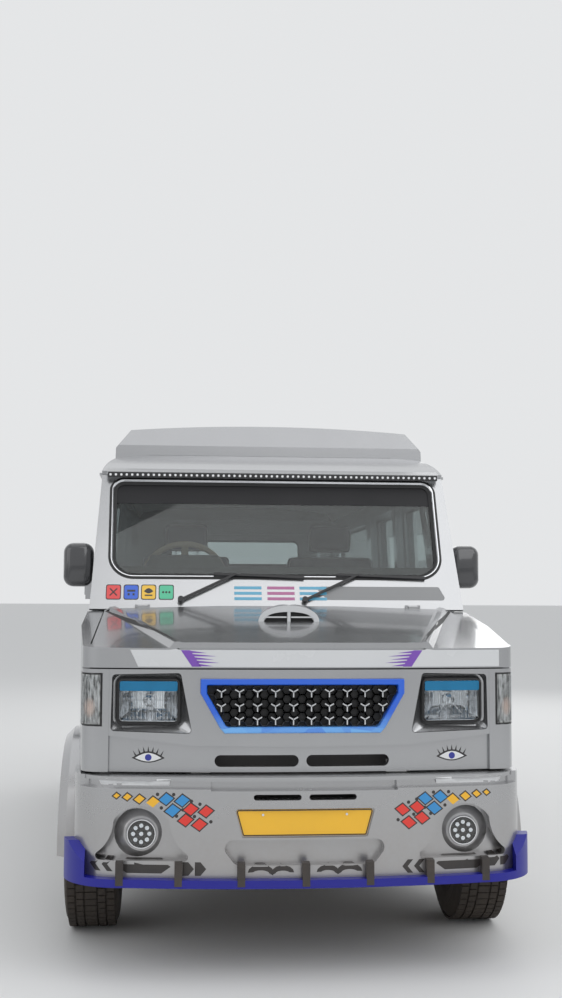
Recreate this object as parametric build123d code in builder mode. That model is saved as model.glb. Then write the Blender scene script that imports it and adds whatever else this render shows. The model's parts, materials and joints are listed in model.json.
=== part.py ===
from build123d import *
import math
import os

os.makedirs("parts", exist_ok=True)

# Long passenger van on a ladder frame, in mm. +X is its left side, -Y its front, +Z up.
# The origin is on the ground, in the middle of its plan. A station is a distance behind the nose.

# Overall size and running gear
lip_overhang = 36
bumper_reach = 92
axle_station = 780
wheelbase = 3050
rear_overhang = 1202
rear_bumper_depth = 80
tyre_radius = 351.5
tyre_width = 215
rim_radius = 190.5
wheel_x = 785
kingpin_x = 680
spindle_radius = 20
seat_gap = 0.3
shut_gap = 10
pillar_gap = 14
hinge_set = 5

overall_length = lip_overhang + bumper_reach + axle_station + wheelbase + rear_overhang
nose_y = -overall_length / 2 + bumper_reach + lip_overhang
tail_y = overall_length / 2
rear_axle_station = axle_station + wheelbase
tail_station = rear_axle_station + rear_overhang - rear_bumper_depth


def st(station):
    return nose_y + station


front_axle_y = st(axle_station)
rear_axle_y = st(rear_axle_station)

# Body section: half widths of the outer skin at four heights
sill_z = 360
belly_z = 800
waist_z = 1290
gutter_z = 1925
sill_half = 838
belly_half = 856
waist_half = 848
gutter_half = 815
door_wall = 50
seal_gap = 6
pillar_wall = 40
side_wall = door_wall + seal_gap + pillar_wall
glass_wall = 6
glass_depth = 32

# Roof, measured up and in from the gutter
crown_rise = 160
shoulder_rise = 110
shoulder_inset = 80
crown_z = gutter_z + crown_rise
shoulder_z = gutter_z + shoulder_rise
shoulder_half = gutter_half - shoulder_inset
roof_wall = 30
roof_flat_station = 1790

# Windscreen plane: it runs from its foot to its head
screen_foot_station = 1110
screen_foot_z = 1420
screen_head_station = 1365
screen_head_z = gutter_z + 20
screen_wall = 45
scuttle_z = 1297
rake = (screen_head_station - screen_foot_station) / (screen_head_z - screen_foot_z)
slope = math.hypot(1, rake)

# Openings of the body side
door_low = 420
door_drop = 53
window_drop = 110
door_top = gutter_z - door_drop
window_low = 1325
window_top = gutter_z - window_drop
window_frame = 62
window_radius = 45
jamb = 36
front_door_station = 1250
front_door_length = 925
rear_door_length = 840
front_door_rear = front_door_station + front_door_length
rear_door_station = front_door_rear + pillar_gap
rear_door_rear = rear_door_station + rear_door_length
quarter_front_gap = 101
quarter_rear_gap = 162
quarter_front_station = rear_door_rear + quarter_front_gap
quarter_rear_station = tail_station - quarter_rear_gap
arch_radius = 402
flare_width = 55
flare_reach = 53
flare_half = belly_half + flare_reach

# Floor and frame rails
floor_z = 650
floor_wall = 30
firewall_station = 1135
firewall_wall = 20
tub_radius = 440
liner_radius = 445
liner_wall = 10
tub_wall = 25
tub_inner_x = 565
rail_inner = 385
rail_outer = 455
rail_rear_gap = 102
rail_rear_station = tail_station - rail_rear_gap

# Front end
front_sag = 58
front_sag_half = 740
nose_half = 705
nose_low = 715
nose_wall = 50
strip_low = 1090
crease_z = 811
bonnet_rear_station = 1034
bonnet_half = 776
bonnet_wall = 26
bonnet_sheet_front = 1152
bonnet_sheet_rear = 1286
panel_gap = 6
wing_top_rear = 1290
bumper_low = 360
bumper_top = 708
bumper_wall = 55
lip_low = 331

# Hinges
hinge_pin = 3
hinge_barrel = 4.5
hinge_half_height = 22
hinge_heights = (560, 1010)
hinge_x = belly_half + 3
hinge_lug = 10
bonnet_hinge_station = bonnet_rear_station + 6
bonnet_hinge_z = 1311
bonnet_hinge_x = 610


def skin_half(z):
    # half width of the outer skin above the waist
    share = (z - waist_z) / (gutter_z - waist_z)
    return waist_half + share * (gutter_half - waist_half)


def side_layer(side, near, far):
    # Section of a body side between two depths below its outer skin
    with BuildSketch(Plane.XZ) as layer:
        with BuildLine():
            ThreePointArc(
                (side * (sill_half - near), sill_z),
                (side * (belly_half - near), belly_z),
                (side * (waist_half - near), waist_z),
            )
            Polyline(
                (side * (waist_half - near), waist_z),
                (side * (gutter_half - near), gutter_z),
                (side * (gutter_half - far), gutter_z),
                (side * (waist_half - far), waist_z),
            )
            ThreePointArc(
                (side * (waist_half - far), waist_z),
                (side * (belly_half - far), belly_z),
                (side * (sill_half - far), sill_z),
            )
            Line((side * (sill_half - far), sill_z), (side * (sill_half - near), sill_z))
        make_face()
    return layer.sketch


def cabin_section(clear):
    # Section of the space between the two body sides
    depth = side_wall + clear
    with BuildSketch(Plane.XZ) as section:
        with BuildLine():
            ThreePointArc(
                (sill_half - depth, sill_z),
                (belly_half - depth, belly_z),
                (waist_half - depth, waist_z),
            )
            Polyline(
                (waist_half - depth, waist_z),
                (gutter_half - depth, gutter_z),
                (depth - gutter_half, gutter_z),
                (depth - waist_half, waist_z),
            )
            ThreePointArc(
                (depth - waist_half, waist_z),
                (depth - belly_half, belly_z),
                (depth - sill_half, sill_z),
            )
            Line((depth - sill_half, sill_z), (sill_half - depth, sill_z))
        make_face()
    return section.sketch


def along_y(face, front, rear):
    # Prism of a face in the XZ plane between two stations
    moved = Pos(0, st(front), 0) * face
    return extrude(moved, amount=rear - front, dir=(0, 1, 0), mode=Mode.PRIVATE)


def across(face, half):
    # Prism of a face in the YZ plane, to both sides of it
    return extrude(face, amount=half, both=True, mode=Mode.PRIVATE)


def upright(face, low, high):
    # Prism of a face in the XY plane between two heights
    return extrude(Pos(0, 0, low) * face, amount=high - low, mode=Mode.PRIVATE)


def block(x_span, station_span, z_span):
    # Block between two values of x, two stations and two heights
    size = (x_span[1] - x_span[0], station_span[1] - station_span[0], z_span[1] - z_span[0])
    middle = (sum(x_span) / 2, st(sum(station_span) / 2), sum(z_span) / 2)
    return Pos(*middle) * Box(*size, mode=Mode.PRIVATE)


def rod(centre, axis, radius, length):
    # Round bar with its middle at a point
    return Plane(centre, z_dir=axis) * Cylinder(radius, length, mode=Mode.PRIVATE)


def mirrored(piece):
    return mirror(piece, about=Plane.YZ, mode=Mode.PRIVATE)


def outline_yz(points, radius=0):
    # Side view outline, from (station, height) points
    with BuildSketch(Plane.YZ) as face:
        with BuildLine():
            Polyline(*[(st(station), height) for station, height in points], close=True)
        make_face()
        if radius:
            fillet(face.vertices(), radius)
    return face.sketch


def outline_xz(points, radius=0):
    # Front view outline, from (x, height) points
    with BuildSketch(Plane.XZ) as face:
        with BuildLine():
            Polyline(*points, close=True)
        make_face()
        if radius:
            fillet(face.vertices(), radius)
    return face.sketch


def both_sides(points):
    # Closed outline that mirrors a list of (x, height) points about the middle
    return list(points) + [(-x, height) for x, height in reversed(points)]


def arch_flare(axle_y, inner_x):
    # Moulding round a wheel arch, chamfered towards its outer edge
    with BuildPart() as flare:
        with BuildSketch(Plane.YZ.offset(inner_x)):
            with Locations((axle_y, tyre_radius)):
                Circle(arch_radius + flare_width)
        extrude(amount=flare_half - inner_x)
        chamfer(flare.faces().sort_by(Axis.X)[-1].edges(), flare_width * 0.62, 34)
        with BuildSketch(Plane.YZ.offset(inner_x)):
            with Locations((axle_y, tyre_radius)):
                Circle(arch_radius)
            with Locations((axle_y, sill_z - 500)):
                Rectangle(2000, 1000)
        extrude(amount=1000, mode=Mode.SUBTRACT)
    return flare.part


# Side doors: stations of the front and rear edges, and how far the upper front corner leans back
handle_z = 1140
handle_height = 26
handle_length = 130
handle_rear_gap = 62
handle_reach = 24
doors = (
    # name, front, rear, lean
    ("front", front_door_station, front_door_rear, 200),
    ("rear", rear_door_station, rear_door_rear, 0),
)


def door_outline(front, rear, lean, grow):
    points = [(front - grow, door_low - grow)]
    if lean:
        points.append((front - grow, window_low))
    points.append((front + lean - grow, door_top + grow))
    points.append((rear + grow, door_top + grow))
    points.append((rear + grow, door_low - grow))
    return outline_yz(points)


def window_outline(front, rear, lean, shrink):
    share = (window_top - window_low) / (door_top - window_low)
    edge = window_frame + shrink
    points = (
        (front + edge, window_low + shrink),
        (front + edge + lean * share, window_top - shrink),
        (rear - edge, window_top - shrink),
        (rear - edge, window_low + shrink),
    )
    return outline_yz(points, window_radius)


def quarter_outline(shrink):
    points = (
        (quarter_front_station + shrink, window_low + shrink),
        (quarter_front_station + shrink, window_top - shrink),
        (quarter_rear_station - shrink, window_top - shrink),
        (quarter_rear_station - shrink, window_low + shrink),
    )
    return outline_yz(points, window_radius + 35)


def hinge_web(side, station, height):
    # Door half of a hinge: a barrel joined to the door's front edge
    with BuildPart(Plane((side * hinge_x, st(station), height))) as web:
        Cylinder(hinge_barrel, 2 * hinge_half_height)
        with Locations((-side * 6, hinge_set - 1, 0)):
            Box(10, 2 * hinge_set, 2 * hinge_half_height)
        Cylinder(hinge_pin + seat_gap, 2 * hinge_half_height, mode=Mode.SUBTRACT)
    return web.part


def hinge_lugs(side, station, height, inner_x, width):
    # Body half of a hinge: two lugs and the pin between them
    reach = hinge_x + hinge_barrel - inner_x
    level = hinge_half_height + 1 + hinge_lug / 2
    with BuildPart(Plane((side * hinge_x, st(station), height))) as lugs:
        Cylinder(hinge_pin, 2 * (hinge_half_height + hinge_lug))
        lug_x = side * (hinge_barrel - reach / 2)
        with Locations((lug_x, 0, level), (lug_x, 0, -level)):
            Box(reach, width, hinge_lug)
    return lugs.part


# Body sides: one thick wall each, with pockets for the doors, windows and the rear wheel arch
wing_rear_station = front_door_station - shut_gap
screen_back_foot = screen_foot_station + screen_wall * slope + seat_gap - rake * screen_foot_z
screen_back_head = screen_back_foot + rake * crown_z
screen_back = outline_yz(((0, 0), (screen_back_foot, 0), (screen_back_head, crown_z), (0, crown_z)))
with BuildPart() as body_sides:
    add(along_y(side_layer(1, 0, side_wall), 1080, tail_station))
    extrude(screen_back, amount=1000, mode=Mode.SUBTRACT)
    for name, front, rear, lean in doors:
        pocket = along_y(side_layer(1, -30, door_wall + seal_gap), front - shut_gap, rear + shut_gap)
        add(pocket & across(door_outline(front, rear, lean, shut_gap), 1000), mode=Mode.SUBTRACT)
        extrude(door_outline(front, rear, lean, -jamb), amount=1000, mode=Mode.SUBTRACT)
    wing_pocket = along_y(side_layer(1, -30, door_wall + seal_gap), 1000, wing_rear_station + 1)
    add(wing_pocket & block((0, 1000), (900, 1300), (0, wing_top_rear + 12)), mode=Mode.SUBTRACT)
    extrude(quarter_outline(0), amount=1000, mode=Mode.SUBTRACT)
    with BuildSketch(Plane.YZ) as arches:
        with Locations((rear_axle_y, tyre_radius)):
            Circle(arch_radius)
        with Locations((front_axle_y, tyre_radius)):
            Circle(liner_radius)
    extrude(arches.sketch, amount=1000, mode=Mode.SUBTRACT)
    add(arch_flare(rear_axle_y, belly_half - 14))
    for height in hinge_heights:
        add(hinge_lugs(1, front_door_station - hinge_set, height, belly_half - door_wall - 20, 8))
        add(hinge_lugs(1, rear_door_station - hinge_set, height, belly_half - door_wall - 20, 8))
    mirror(about=Plane.YZ)
body_sides.part.label = "body_sides"
export_step(body_sides.part, "parts/body_sides.step")


def side_door(side, front, rear, lean):
    # Door as thick as the wall's outer layer, with its window cut
    with BuildPart() as door:
        add(along_y(side_layer(side, 0, door_wall), front, rear))
        extrude(door_outline(front, rear, lean, 0), amount=1000, both=True, mode=Mode.INTERSECT)
        extrude(window_outline(front, rear, lean, 0), amount=1000, both=True, mode=Mode.SUBTRACT)
        for height in hinge_heights:
            add(hinge_web(side, front - hinge_set, height))
        grip_rear = rear - handle_rear_gap
        grip_front = grip_rear - handle_length
        grip = along_y(side_layer(side, -handle_reach, 4), grip_front, grip_rear)
        add(grip & block((-1000, 1000), (front, rear), (handle_z, handle_z + handle_height)))
        finger_well = along_y(side_layer(side, 11 - handle_reach, 10), grip_front + 14, grip_rear - 14)
        well_heights = (handle_z - 30, handle_z + handle_height - 9)
        add(finger_well & block((-1000, 1000), (front, rear), well_heights), mode=Mode.SUBTRACT)
    return door.part


def door_glass(side, front, rear, lean):
    with BuildPart() as pane:
        add(along_y(side_layer(side, glass_depth, glass_depth + glass_wall), front, rear))
        extrude(window_outline(front, rear, lean, seat_gap), amount=1000, both=True, mode=Mode.INTERSECT)
    return pane.part


# Door mirrors: an arm from the door's front edge and a housing outside it
mirror_station = 1330
mirror_x = waist_half + 67
mirror_z = 1500
mirror_width = 134
mirror_height = 200
mirror_depth = 82


def door_mirror(side):
    with BuildPart() as mirror_part:
        with BuildSketch(Plane.XZ.offset(-st(mirror_station + mirror_depth / 2))):
            with Locations((side * mirror_x, mirror_z)):
                RectangleRounded(mirror_width, mirror_height, 42)
        extrude(amount=mirror_depth)
        chamfer(mirror_part.faces().sort_by(Axis.Y)[0].edges(), 24)
        with Locations((side * (mirror_x - 63), st(mirror_station - 5), mirror_z - 130)):
            Box(56, 45, 60)
        with Locations((side * (mirror_x - 47), st(mirror_station), mirror_z - 100)):
            Box(34, 30, 80)
    return mirror_part.part


for side, side_name in ((1, "left"), (-1, "right")):
    for name, front, rear, lean in doors:
        with BuildPart() as door:
            add(side_door(side, front, rear, lean))
            if name == "front":
                add(door_mirror(side))
        door.part.label = f"{name}_door_{side_name}"
        export_step(door.part, f"parts/{name}_door_{side_name}.step")
        with BuildPart() as pane:
            add(door_glass(side, front, rear, lean))
        pane.part.label = f"{name}_glass_{side_name}"
        export_step(pane.part, f"parts/{name}_glass_{side_name}.step")

# Roof: a crowned shell that drops to the windscreen and rolls off at the tail
roof_tail_radius = 130


def roof_section(drop, inset):
    with BuildSketch(Plane.XZ) as section:
        with BuildLine():
            Polyline(
                (0, gutter_z - inset),
                (gutter_half - drop, gutter_z - inset),
                (gutter_half - drop, gutter_z + 18),
            )
            ThreePointArc(
                (gutter_half - drop, gutter_z + 18),
                (gutter_half - drop - 20, shoulder_z - drop - 45),
                (shoulder_half - drop, shoulder_z - drop),
            )
            ThreePointArc(
                (shoulder_half - drop, shoulder_z - drop),
                (shoulder_half / 2, crown_z - drop - (crown_z - shoulder_z) / 4),
                (0, crown_z - drop),
            )
            Line((0, crown_z - drop), (0, gutter_z - inset))
        make_face()
        mirror(about=Plane.YZ)
    return section.sketch


def roof_profile(drop, inset):
    with BuildSketch(Plane.YZ) as profile:
        with BuildLine():
            Polyline(
                (st(tail_station - drop), gutter_z - inset),
                (st(screen_head_station + drop * 1.5), gutter_z - inset),
                (st(screen_head_station - 10 + drop * 1.5), screen_head_z),
            )
            ThreePointArc(
                (st(screen_head_station - 10 + drop * 1.5), screen_head_z),
                (st(screen_head_station + 150 + drop * 0.6), crown_z - 62 - drop),
                (st(roof_flat_station), crown_z - drop),
            )
            flat_rear = (st(tail_station - 2 * roof_tail_radius), crown_z - drop)
            Line((st(roof_flat_station), crown_z - drop), flat_rear)
            ThreePointArc(
                flat_rear,
                (st(tail_station - 55 - drop * 0.7), crown_z - 50 - drop * 0.7),
                (st(tail_station - drop), gutter_z + 20),
            )
            Line((st(tail_station - drop), gutter_z + 20), (st(tail_station - drop), gutter_z - inset))
        make_face()
    return profile.sketch


rib_x = (-460, -230, 0, 230, 460)
rib_half = 22
rib_rise = 6
rib_station = 2120
drip_reach = 12
visor_points = ((1366, gutter_z), (1318, gutter_z + 1), (1318, gutter_z + 15), (1366, gutter_z + 34))
visor_half = 790
with BuildPart() as roof:
    add(along_y(roof_section(0, 0), screen_head_station - 40, tail_station))
    extrude(roof_profile(0, 0), amount=1000, both=True, mode=Mode.INTERSECT)
    ribs = along_y(roof_section(-rib_rise, 0), rib_station, tail_station - 2 * roof_tail_radius - 60)
    for x in rib_x:
        add(ribs & block((x - rib_half, x + rib_half), (0, tail_station), (crown_z - 90, crown_z + 90)))
    drip_stations = (screen_head_station + 10, tail_station - 40)
    for side in (1, -1):
        drip_span = sorted((side * (gutter_half - 4), side * (gutter_half + drip_reach)))
        add(block(drip_span, drip_stations, (gutter_z, gutter_z + 12)))
    add(across(outline_yz(visor_points), visor_half))
    cavity = along_y(roof_section(roof_wall, 10), screen_head_station, tail_station)
    add(cavity & across(roof_profile(roof_wall, 10), 1000), mode=Mode.SUBTRACT)
roof.part.label = "roof"
export_step(roof.part, "parts/roof.step")

# Windscreen frame: a sloping plate with the screen's hole, the scuttle and the firewall
screen_plane = Plane(
    origin=(0, st(screen_foot_station), screen_foot_z),
    x_dir=(1, 0, 0),
    z_dir=(0, -1, rake),
)
screen_rise = (screen_head_z - screen_foot_z) * slope
scuttle_drop = (screen_foot_z - scuttle_z) * slope
glass_low_half = 756
glass_high_half = 762
glass_low = 26
glass_high = screen_rise - 48
scuttle_half = 742


def screen_hole(shrink):
    with BuildSketch() as hole:
        with BuildLine():
            low_corner = (glass_low_half - shrink, glass_low + shrink)
            high_corner = (glass_high_half - shrink, glass_high - shrink)
            Polyline(*both_sides((low_corner, high_corner)), close=True)
        make_face()
        fillet(hole.vertices().group_by(Axis.Y)[0], 105)
        fillet(hole.vertices().group_by(Axis.Y)[-1], 55)
    return hole.sketch


with BuildPart() as windscreen_frame:
    with BuildSketch(screen_plane):
        with BuildLine():
            foot = (skin_half(scuttle_z) - 2, -scuttle_drop)
            head = (skin_half(screen_head_z) - 2, screen_rise)
            Polyline(*both_sides((foot, head)), close=True)
        make_face()
        add(screen_hole(0), mode=Mode.SUBTRACT)
    extrude(amount=-screen_wall)
    scuttle = outline_yz(
        (
            (screen_foot_station - 45, scuttle_z),
            (screen_foot_station - 35, scuttle_z - 70),
            (firewall_station, scuttle_z - 110),
            (firewall_station + firewall_wall, scuttle_z + 30),
            (screen_foot_station + 25, screen_foot_z - 40),
        )
    )
    add(across(scuttle, scuttle_half))
    wall = along_y(cabin_section(seat_gap), firewall_station, firewall_station + firewall_wall)
    add(wall & block((-1000, 1000), (1000, 1300), (floor_z + seat_gap, scuttle_z - 60)))
    add(block((-1000, 1000), (1000, 2000), (gutter_z, 2500)), mode=Mode.SUBTRACT)
    for span in ((scuttle_half, 1000), (-1000, -scuttle_half)):
        add(block(span, (1000, 1300), (0, wing_top_rear + seat_gap)), mode=Mode.SUBTRACT)
    for side in (1, -1):
        pivot = (side * bonnet_hinge_x, st(bonnet_hinge_station), bonnet_hinge_z)
        add(rod(pivot, (1, 0, 0), hinge_pin, 2 * (hinge_half_height + hinge_lug)))
        for shift in (-1, 1):
            lug_x = side * bonnet_hinge_x + shift * (hinge_half_height + 1 + hinge_lug / 2)
            span = (lug_x - hinge_lug / 2, lug_x + hinge_lug / 2)
            stations = (bonnet_hinge_station - hinge_barrel, bonnet_hinge_station + 40)
            add(block(span, stations, (bonnet_hinge_z - 8, bonnet_hinge_z + 6)))
windscreen_frame.part.label = "windscreen_frame"
export_step(windscreen_frame.part, "parts/windscreen_frame.step")

# Fixed glass: the windscreen and the long rear side panes
with BuildPart() as fixed_glass:
    with BuildSketch(screen_plane.offset(-glass_depth / 2)):
        add(screen_hole(seat_gap))
    extrude(amount=-glass_wall)
    pane_layer = side_layer(1, glass_depth, glass_depth + glass_wall)
    pane = along_y(pane_layer, quarter_front_station, quarter_rear_station)
    pane = pane & across(quarter_outline(seat_gap), 1000)
    add(pane)
    add(mirrored(pane))
fixed_glass.part.label = "fixed_glass"
export_step(fixed_glass.part, "parts/fixed_glass.step")

# Floor with the two rear wheel tubs
with BuildPart() as floor:
    add(along_y(cabin_section(seat_gap), firewall_station, tail_station - side_wall - seat_gap))
    add(block((-1000, 1000), (0, 6000), (floor_z - floor_wall, floor_z)), mode=Mode.INTERSECT)
    for side in (1, -1):
        with BuildSketch(Plane.YZ.offset(side * tub_inner_x)) as tub:
            with Locations((rear_axle_y, tyre_radius)):
                Circle(tub_radius + tub_wall)
            with Locations((rear_axle_y, floor_z - floor_wall - 500)):
                Rectangle(2000, 1000, mode=Mode.SUBTRACT)
        tub_solid = extrude(tub.sketch, amount=300, dir=(side, 0, 0), mode=Mode.PRIVATE)
        add(tub_solid & along_y(cabin_section(seat_gap), rear_axle_station - 830, rear_axle_station + 870))
        with BuildSketch(Plane.YZ.offset(side * (tub_inner_x + tub_wall))) as well:
            with Locations((rear_axle_y, tyre_radius)):
                Circle(tub_radius)
        add(extrude(well.sketch, amount=300, dir=(side, 0, 0), mode=Mode.PRIVATE), mode=Mode.SUBTRACT)
floor.part.label = "floor"
export_step(floor.part, "parts/floor.step")

# Ladder frame: two rails with crossmembers and the mounts under the floor
rail_front_station = 60
spare_gap = 650
spare_carrier_z = 501
spare_station = rear_axle_station + spare_gap
rail_stations = (
    # station, underside, top
    (rail_front_station, 440, 560),
    (axle_station + 570, 440, 560),
    (axle_station + 720, 400, 540),
    (rear_axle_station - 580, 400, 540),
    (rear_axle_station - 380, 460, 580),
    (rail_rear_station, 460, 580),
)
crossmembers = (
    # station, underside, top
    (110, 440, 560),
    (1710, 490, 540),
    (2520, 490, 540),
    (rear_axle_station - 550, 490, 540),
    (rear_axle_station + 250, 505, 560),
    (spare_station, spare_carrier_z, 560),
    (rail_rear_station - 35, 505, 580),
)
pucks = (
    # station, top of the rail
    (1560, 540),
    (2150, 540),
    (2800, 540),
    (rear_axle_station - 310, 580),
    (rear_axle_station + 470, 580),
    (rail_rear_station - 50, 580),
)
with BuildPart() as chassis_frame:
    points = [(station, low) for station, low, high in rail_stations]
    points += [(station, high) for station, low, high in reversed(rail_stations)]
    rail_face = Pos(rail_inner, 0, 0) * outline_yz(points)
    rail = extrude(rail_face, amount=rail_outer - rail_inner, mode=Mode.PRIVATE)
    add(rail)
    add(mirrored(rail))
    for station, low, high in crossmembers:
        add(block((-rail_inner - 5, rail_inner + 5), (station - 35, station + 35), (low, high)))
    for station, low in pucks:
        for x in (-(rail_inner + rail_outer) / 2, (rail_inner + rail_outer) / 2):
            puck_top = floor_z - floor_wall - seat_gap
            add(rod((x, st(station), (low - 2 + puck_top) / 2), (0, 0, 1), 32, puck_top - low + 2))
chassis_frame.part.label = "chassis_frame"
export_step(chassis_frame.part, "parts/chassis_frame.step")

# Plan outline of the front end: a shallow arc across the nose and a tight corner into each side
corner_mid = (790, 84)
corner_end = (808, 132)


def front_plan(foremost, mid, corner, trail, inset):
    # Plan of the front end: an arc across the nose, then a corner arc and straight runs back on each side
    with BuildSketch(Plane.XY) as plan:
        with BuildLine():
            ThreePointArc((-mid[0], st(mid[1])), (0, st(foremost)), (mid[0], st(mid[1])))
            ThreePointArc((mid[0], st(mid[1])), (corner[0], st(corner[1])), (trail[0][0], st(trail[0][1])))
            rear_run = (*trail, (-mid[0], trail[-1][1]), (-mid[0], mid[1]))
            Polyline(*[(x, st(station)) for x, station in rear_run])
        make_face()
        if inset:
            offset(amount=-inset, kind=Kind.INTERSECTION)
        with Locations((1000, 0)):
            Rectangle(2000, 9000, mode=Mode.INTERSECT)
        mirror(about=Plane.YZ)
    return plan.sketch


def body_plan(inset):
    # Plan of the wings and nose, carried on past the doors' front edge
    trail = (corner_end, (belly_half - 8, 620), (belly_half - 4, wing_rear_station), (belly_half - 4, 1700))
    return front_plan(0, (front_sag_half, front_sag), corner_mid, trail, inset)


# Bonnet: a creased sheet whose raised middle widens to the rear, with the front strip and scoop
def bonnet_section(heights, station):
    # heights: (x, z) from the middle outwards
    with BuildSketch(Plane.XZ.offset(-st(station))) as section:
        top = both_sides(heights[::-1])
        low = [(x, z - bonnet_wall) for x, z in reversed(top)]
        with BuildLine():
            Polyline(*top, *low, close=True)
        make_face()
    return section.sketch


bonnet_front_heights = (
    # half width, height: middle, foot and crest of the raised rim, then the edge
    (150, 1176),
    (424, 1174),
    (440, 1182),
    (458, 1180),
    (476, 1156),
    (830, bonnet_sheet_front),
)
bonnet_rear_heights = (
    (260, 1312),
    (712, 1300),
    (730, 1309),
    (752, 1306),
    (768, 1294),
    (830, bonnet_sheet_rear),
)
bulge_half = 452
bulge_front_z = 1183
shut_line_z = 1158
shut_line = 4
scoop_half = 128
scoop_station = 560
scoop_low = 1230
scoop_high = 1318
mouth_half = 104
mouth_low = 1250
mouth_high = 1290
wings_front = corner_end[1] + 4
with BuildPart() as bonnet:
    front_section = bonnet_section(bonnet_front_heights, -20)
    loft([front_section, bonnet_section(bonnet_rear_heights, bonnet_rear_station)], ruled=True)
    front_block = block((-1000, 1000), (-100, wings_front), (900, 1500))
    plan = upright(body_plan(0), 900, 1500)
    plan = plan & (front_block + block((-bonnet_half, bonnet_half), (-100, bonnet_rear_station), (900, 1500)))
    add(plan, mode=Mode.INTERSECT)
    strip = upright(body_plan(0), strip_low, bonnet_sheet_front - 4) - upright(body_plan(28), 900, 1500)
    add(strip & front_block)
    bulge_edge = upright(body_plan(0), shut_line_z - 16, bulge_front_z) - upright(body_plan(14), 900, 1500)
    add(bulge_edge & block((-bulge_half, bulge_half), (-100, wings_front), (900, 1500)))
    groove = upright(body_plan(-10), shut_line_z, shut_line_z + shut_line) - upright(body_plan(6), 900, 1500)
    groove_span = (-bulge_half - 6, bulge_half + 6)
    add(groove & block(groove_span, (-100, wings_front), (900, 1500)), mode=Mode.SUBTRACT)
    with BuildSketch(Plane.XZ.offset(-st(scoop_station))) as scoop_face:
        with BuildLine():
            Line((scoop_half, scoop_low), (-scoop_half, scoop_low))
            ThreePointArc((-scoop_half, scoop_low), (-scoop_half * 0.72, scoop_high - 22), (0, scoop_high))
            ThreePointArc((0, scoop_high), (scoop_half * 0.72, scoop_high - 22), (scoop_half, scoop_low))
        make_face()
    scoop = extrude(scoop_face.sketch, amount=300, dir=(0, 1, -0.1), mode=Mode.PRIVATE)
    add(scoop & across(outline_yz(((500, 1226), (900, 1277), (900, 1500), (500, 1500))), 500))
    with BuildSketch(Plane.XZ.offset(-st(scoop_station))) as mouths:
        with BuildLine():
            Line((mouth_half, mouth_low), (-mouth_half, mouth_low))
            ThreePointArc((-mouth_half, mouth_low), (-mouth_half * 0.7, mouth_high - 8), (0, mouth_high))
            ThreePointArc((0, mouth_high), (mouth_half * 0.7, mouth_high - 8), (mouth_half, mouth_low))
        make_face()
        with Locations((0, mouth_low)):
            Rectangle(12, 100, mode=Mode.SUBTRACT)
    add(extrude(mouths.sketch, amount=80, dir=(0, 1, 0), mode=Mode.PRIVATE), mode=Mode.SUBTRACT)
    for side in (1, -1):
        pivot = (side * bonnet_hinge_x, st(bonnet_hinge_station), bonnet_hinge_z)
        add(rod(pivot, (1, 0, 0), hinge_barrel, 2 * hinge_half_height))
        x_span = (side * bonnet_hinge_x - hinge_half_height, side * bonnet_hinge_x + hinge_half_height)
        web_stations = (bonnet_rear_station - 12, bonnet_hinge_station)
        add(block(x_span, web_stations, (bonnet_hinge_z - 16, bonnet_hinge_z)))
        add(rod(pivot, (1, 0, 0), hinge_pin + seat_gap, 4 * hinge_half_height), mode=Mode.SUBTRACT)
bonnet.part.label = "bonnet"
export_step(bonnet.part, "parts/bonnet.step")

# Front wings: an outer wall with a top flange, the arch moulding and the liner over the wheel
bumper_rear_station = axle_station - arch_radius - flare_width - 8
corner_lamp_x = 729
corner_lamp_rear = 215
corner_lamp_low = 878
corner_lamp_high = 1071
wing_wall = 45
wing_top_front = bonnet_sheet_front + 18


def wing_profile(drop):
    rise_station = wings_front + panel_gap
    points = (
        (-50, nose_low - 500 * (drop > 0)),
        (-50, strip_low - 5 - drop),
        (rise_station, strip_low - 5 - drop),
        (rise_station, wing_top_front - drop),
        (bonnet_rear_station, wing_top_rear - 4 - drop),
        (wing_rear_station, wing_top_rear - drop),
        (wing_rear_station, sill_z - 500 * (drop > 0)),
        (bumper_rear_station + 4, sill_z - 500 * (drop > 0)),
        (bumper_rear_station + 4, nose_low - 500 * (drop > 0)),
    )
    return outline_yz(points)


with BuildPart() as front_wings:
    add(upright(body_plan(0), 0, 1500) & across(wing_profile(0), 1000))
    add(block((nose_half + seat_gap, 1000), (-100, 1400), (0, 1500)), mode=Mode.INTERSECT)
    add(block((0, bonnet_half + panel_gap), (wings_front + panel_gap, 1400), (0, 1500)), mode=Mode.SUBTRACT)
    add(along_y(side_layer(1, door_wall + seal_gap - seat_gap, 400), 1075, 1400), mode=Mode.SUBTRACT)
    inside = upright(body_plan(wing_wall), 0, 1500)
    inside = inside + block((0, belly_half - wing_wall - 6), (400, wing_rear_station + 10), (0, 1500))
    add(inside & across(wing_profile(30), 1000), mode=Mode.SUBTRACT)
    with BuildSketch(Plane.YZ) as front_arch:
        with Locations((front_axle_y, tyre_radius)):
            Circle(arch_radius)
    extrude(front_arch.sketch, amount=1000, mode=Mode.SUBTRACT)
    add(arch_flare(front_axle_y, belly_half - 40))
    with BuildSketch(Plane.YZ.offset(480)) as liner:
        with Locations((front_axle_y, tyre_radius)):
            Circle(liner_radius + liner_wall)
            Circle(liner_radius, mode=Mode.SUBTRACT)
        with Locations((front_axle_y, sill_z - 480)):
            Rectangle(2000, 1000, mode=Mode.SUBTRACT)
        with Locations((st(1075) + 500, 0)):
            Rectangle(1000, 4000, mode=Mode.SUBTRACT)
    extrude(liner.sketch, amount=belly_half - 46 - 480)
    lamp_hole = block((corner_lamp_x, 1000), (-50, corner_lamp_rear), (corner_lamp_low, corner_lamp_high))
    add(lamp_hole, mode=Mode.SUBTRACT)
    mirror(about=Plane.YZ)
front_wings.part.label = "front_wings"
export_step(front_wings.part, "parts/front_wings.step")

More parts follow.
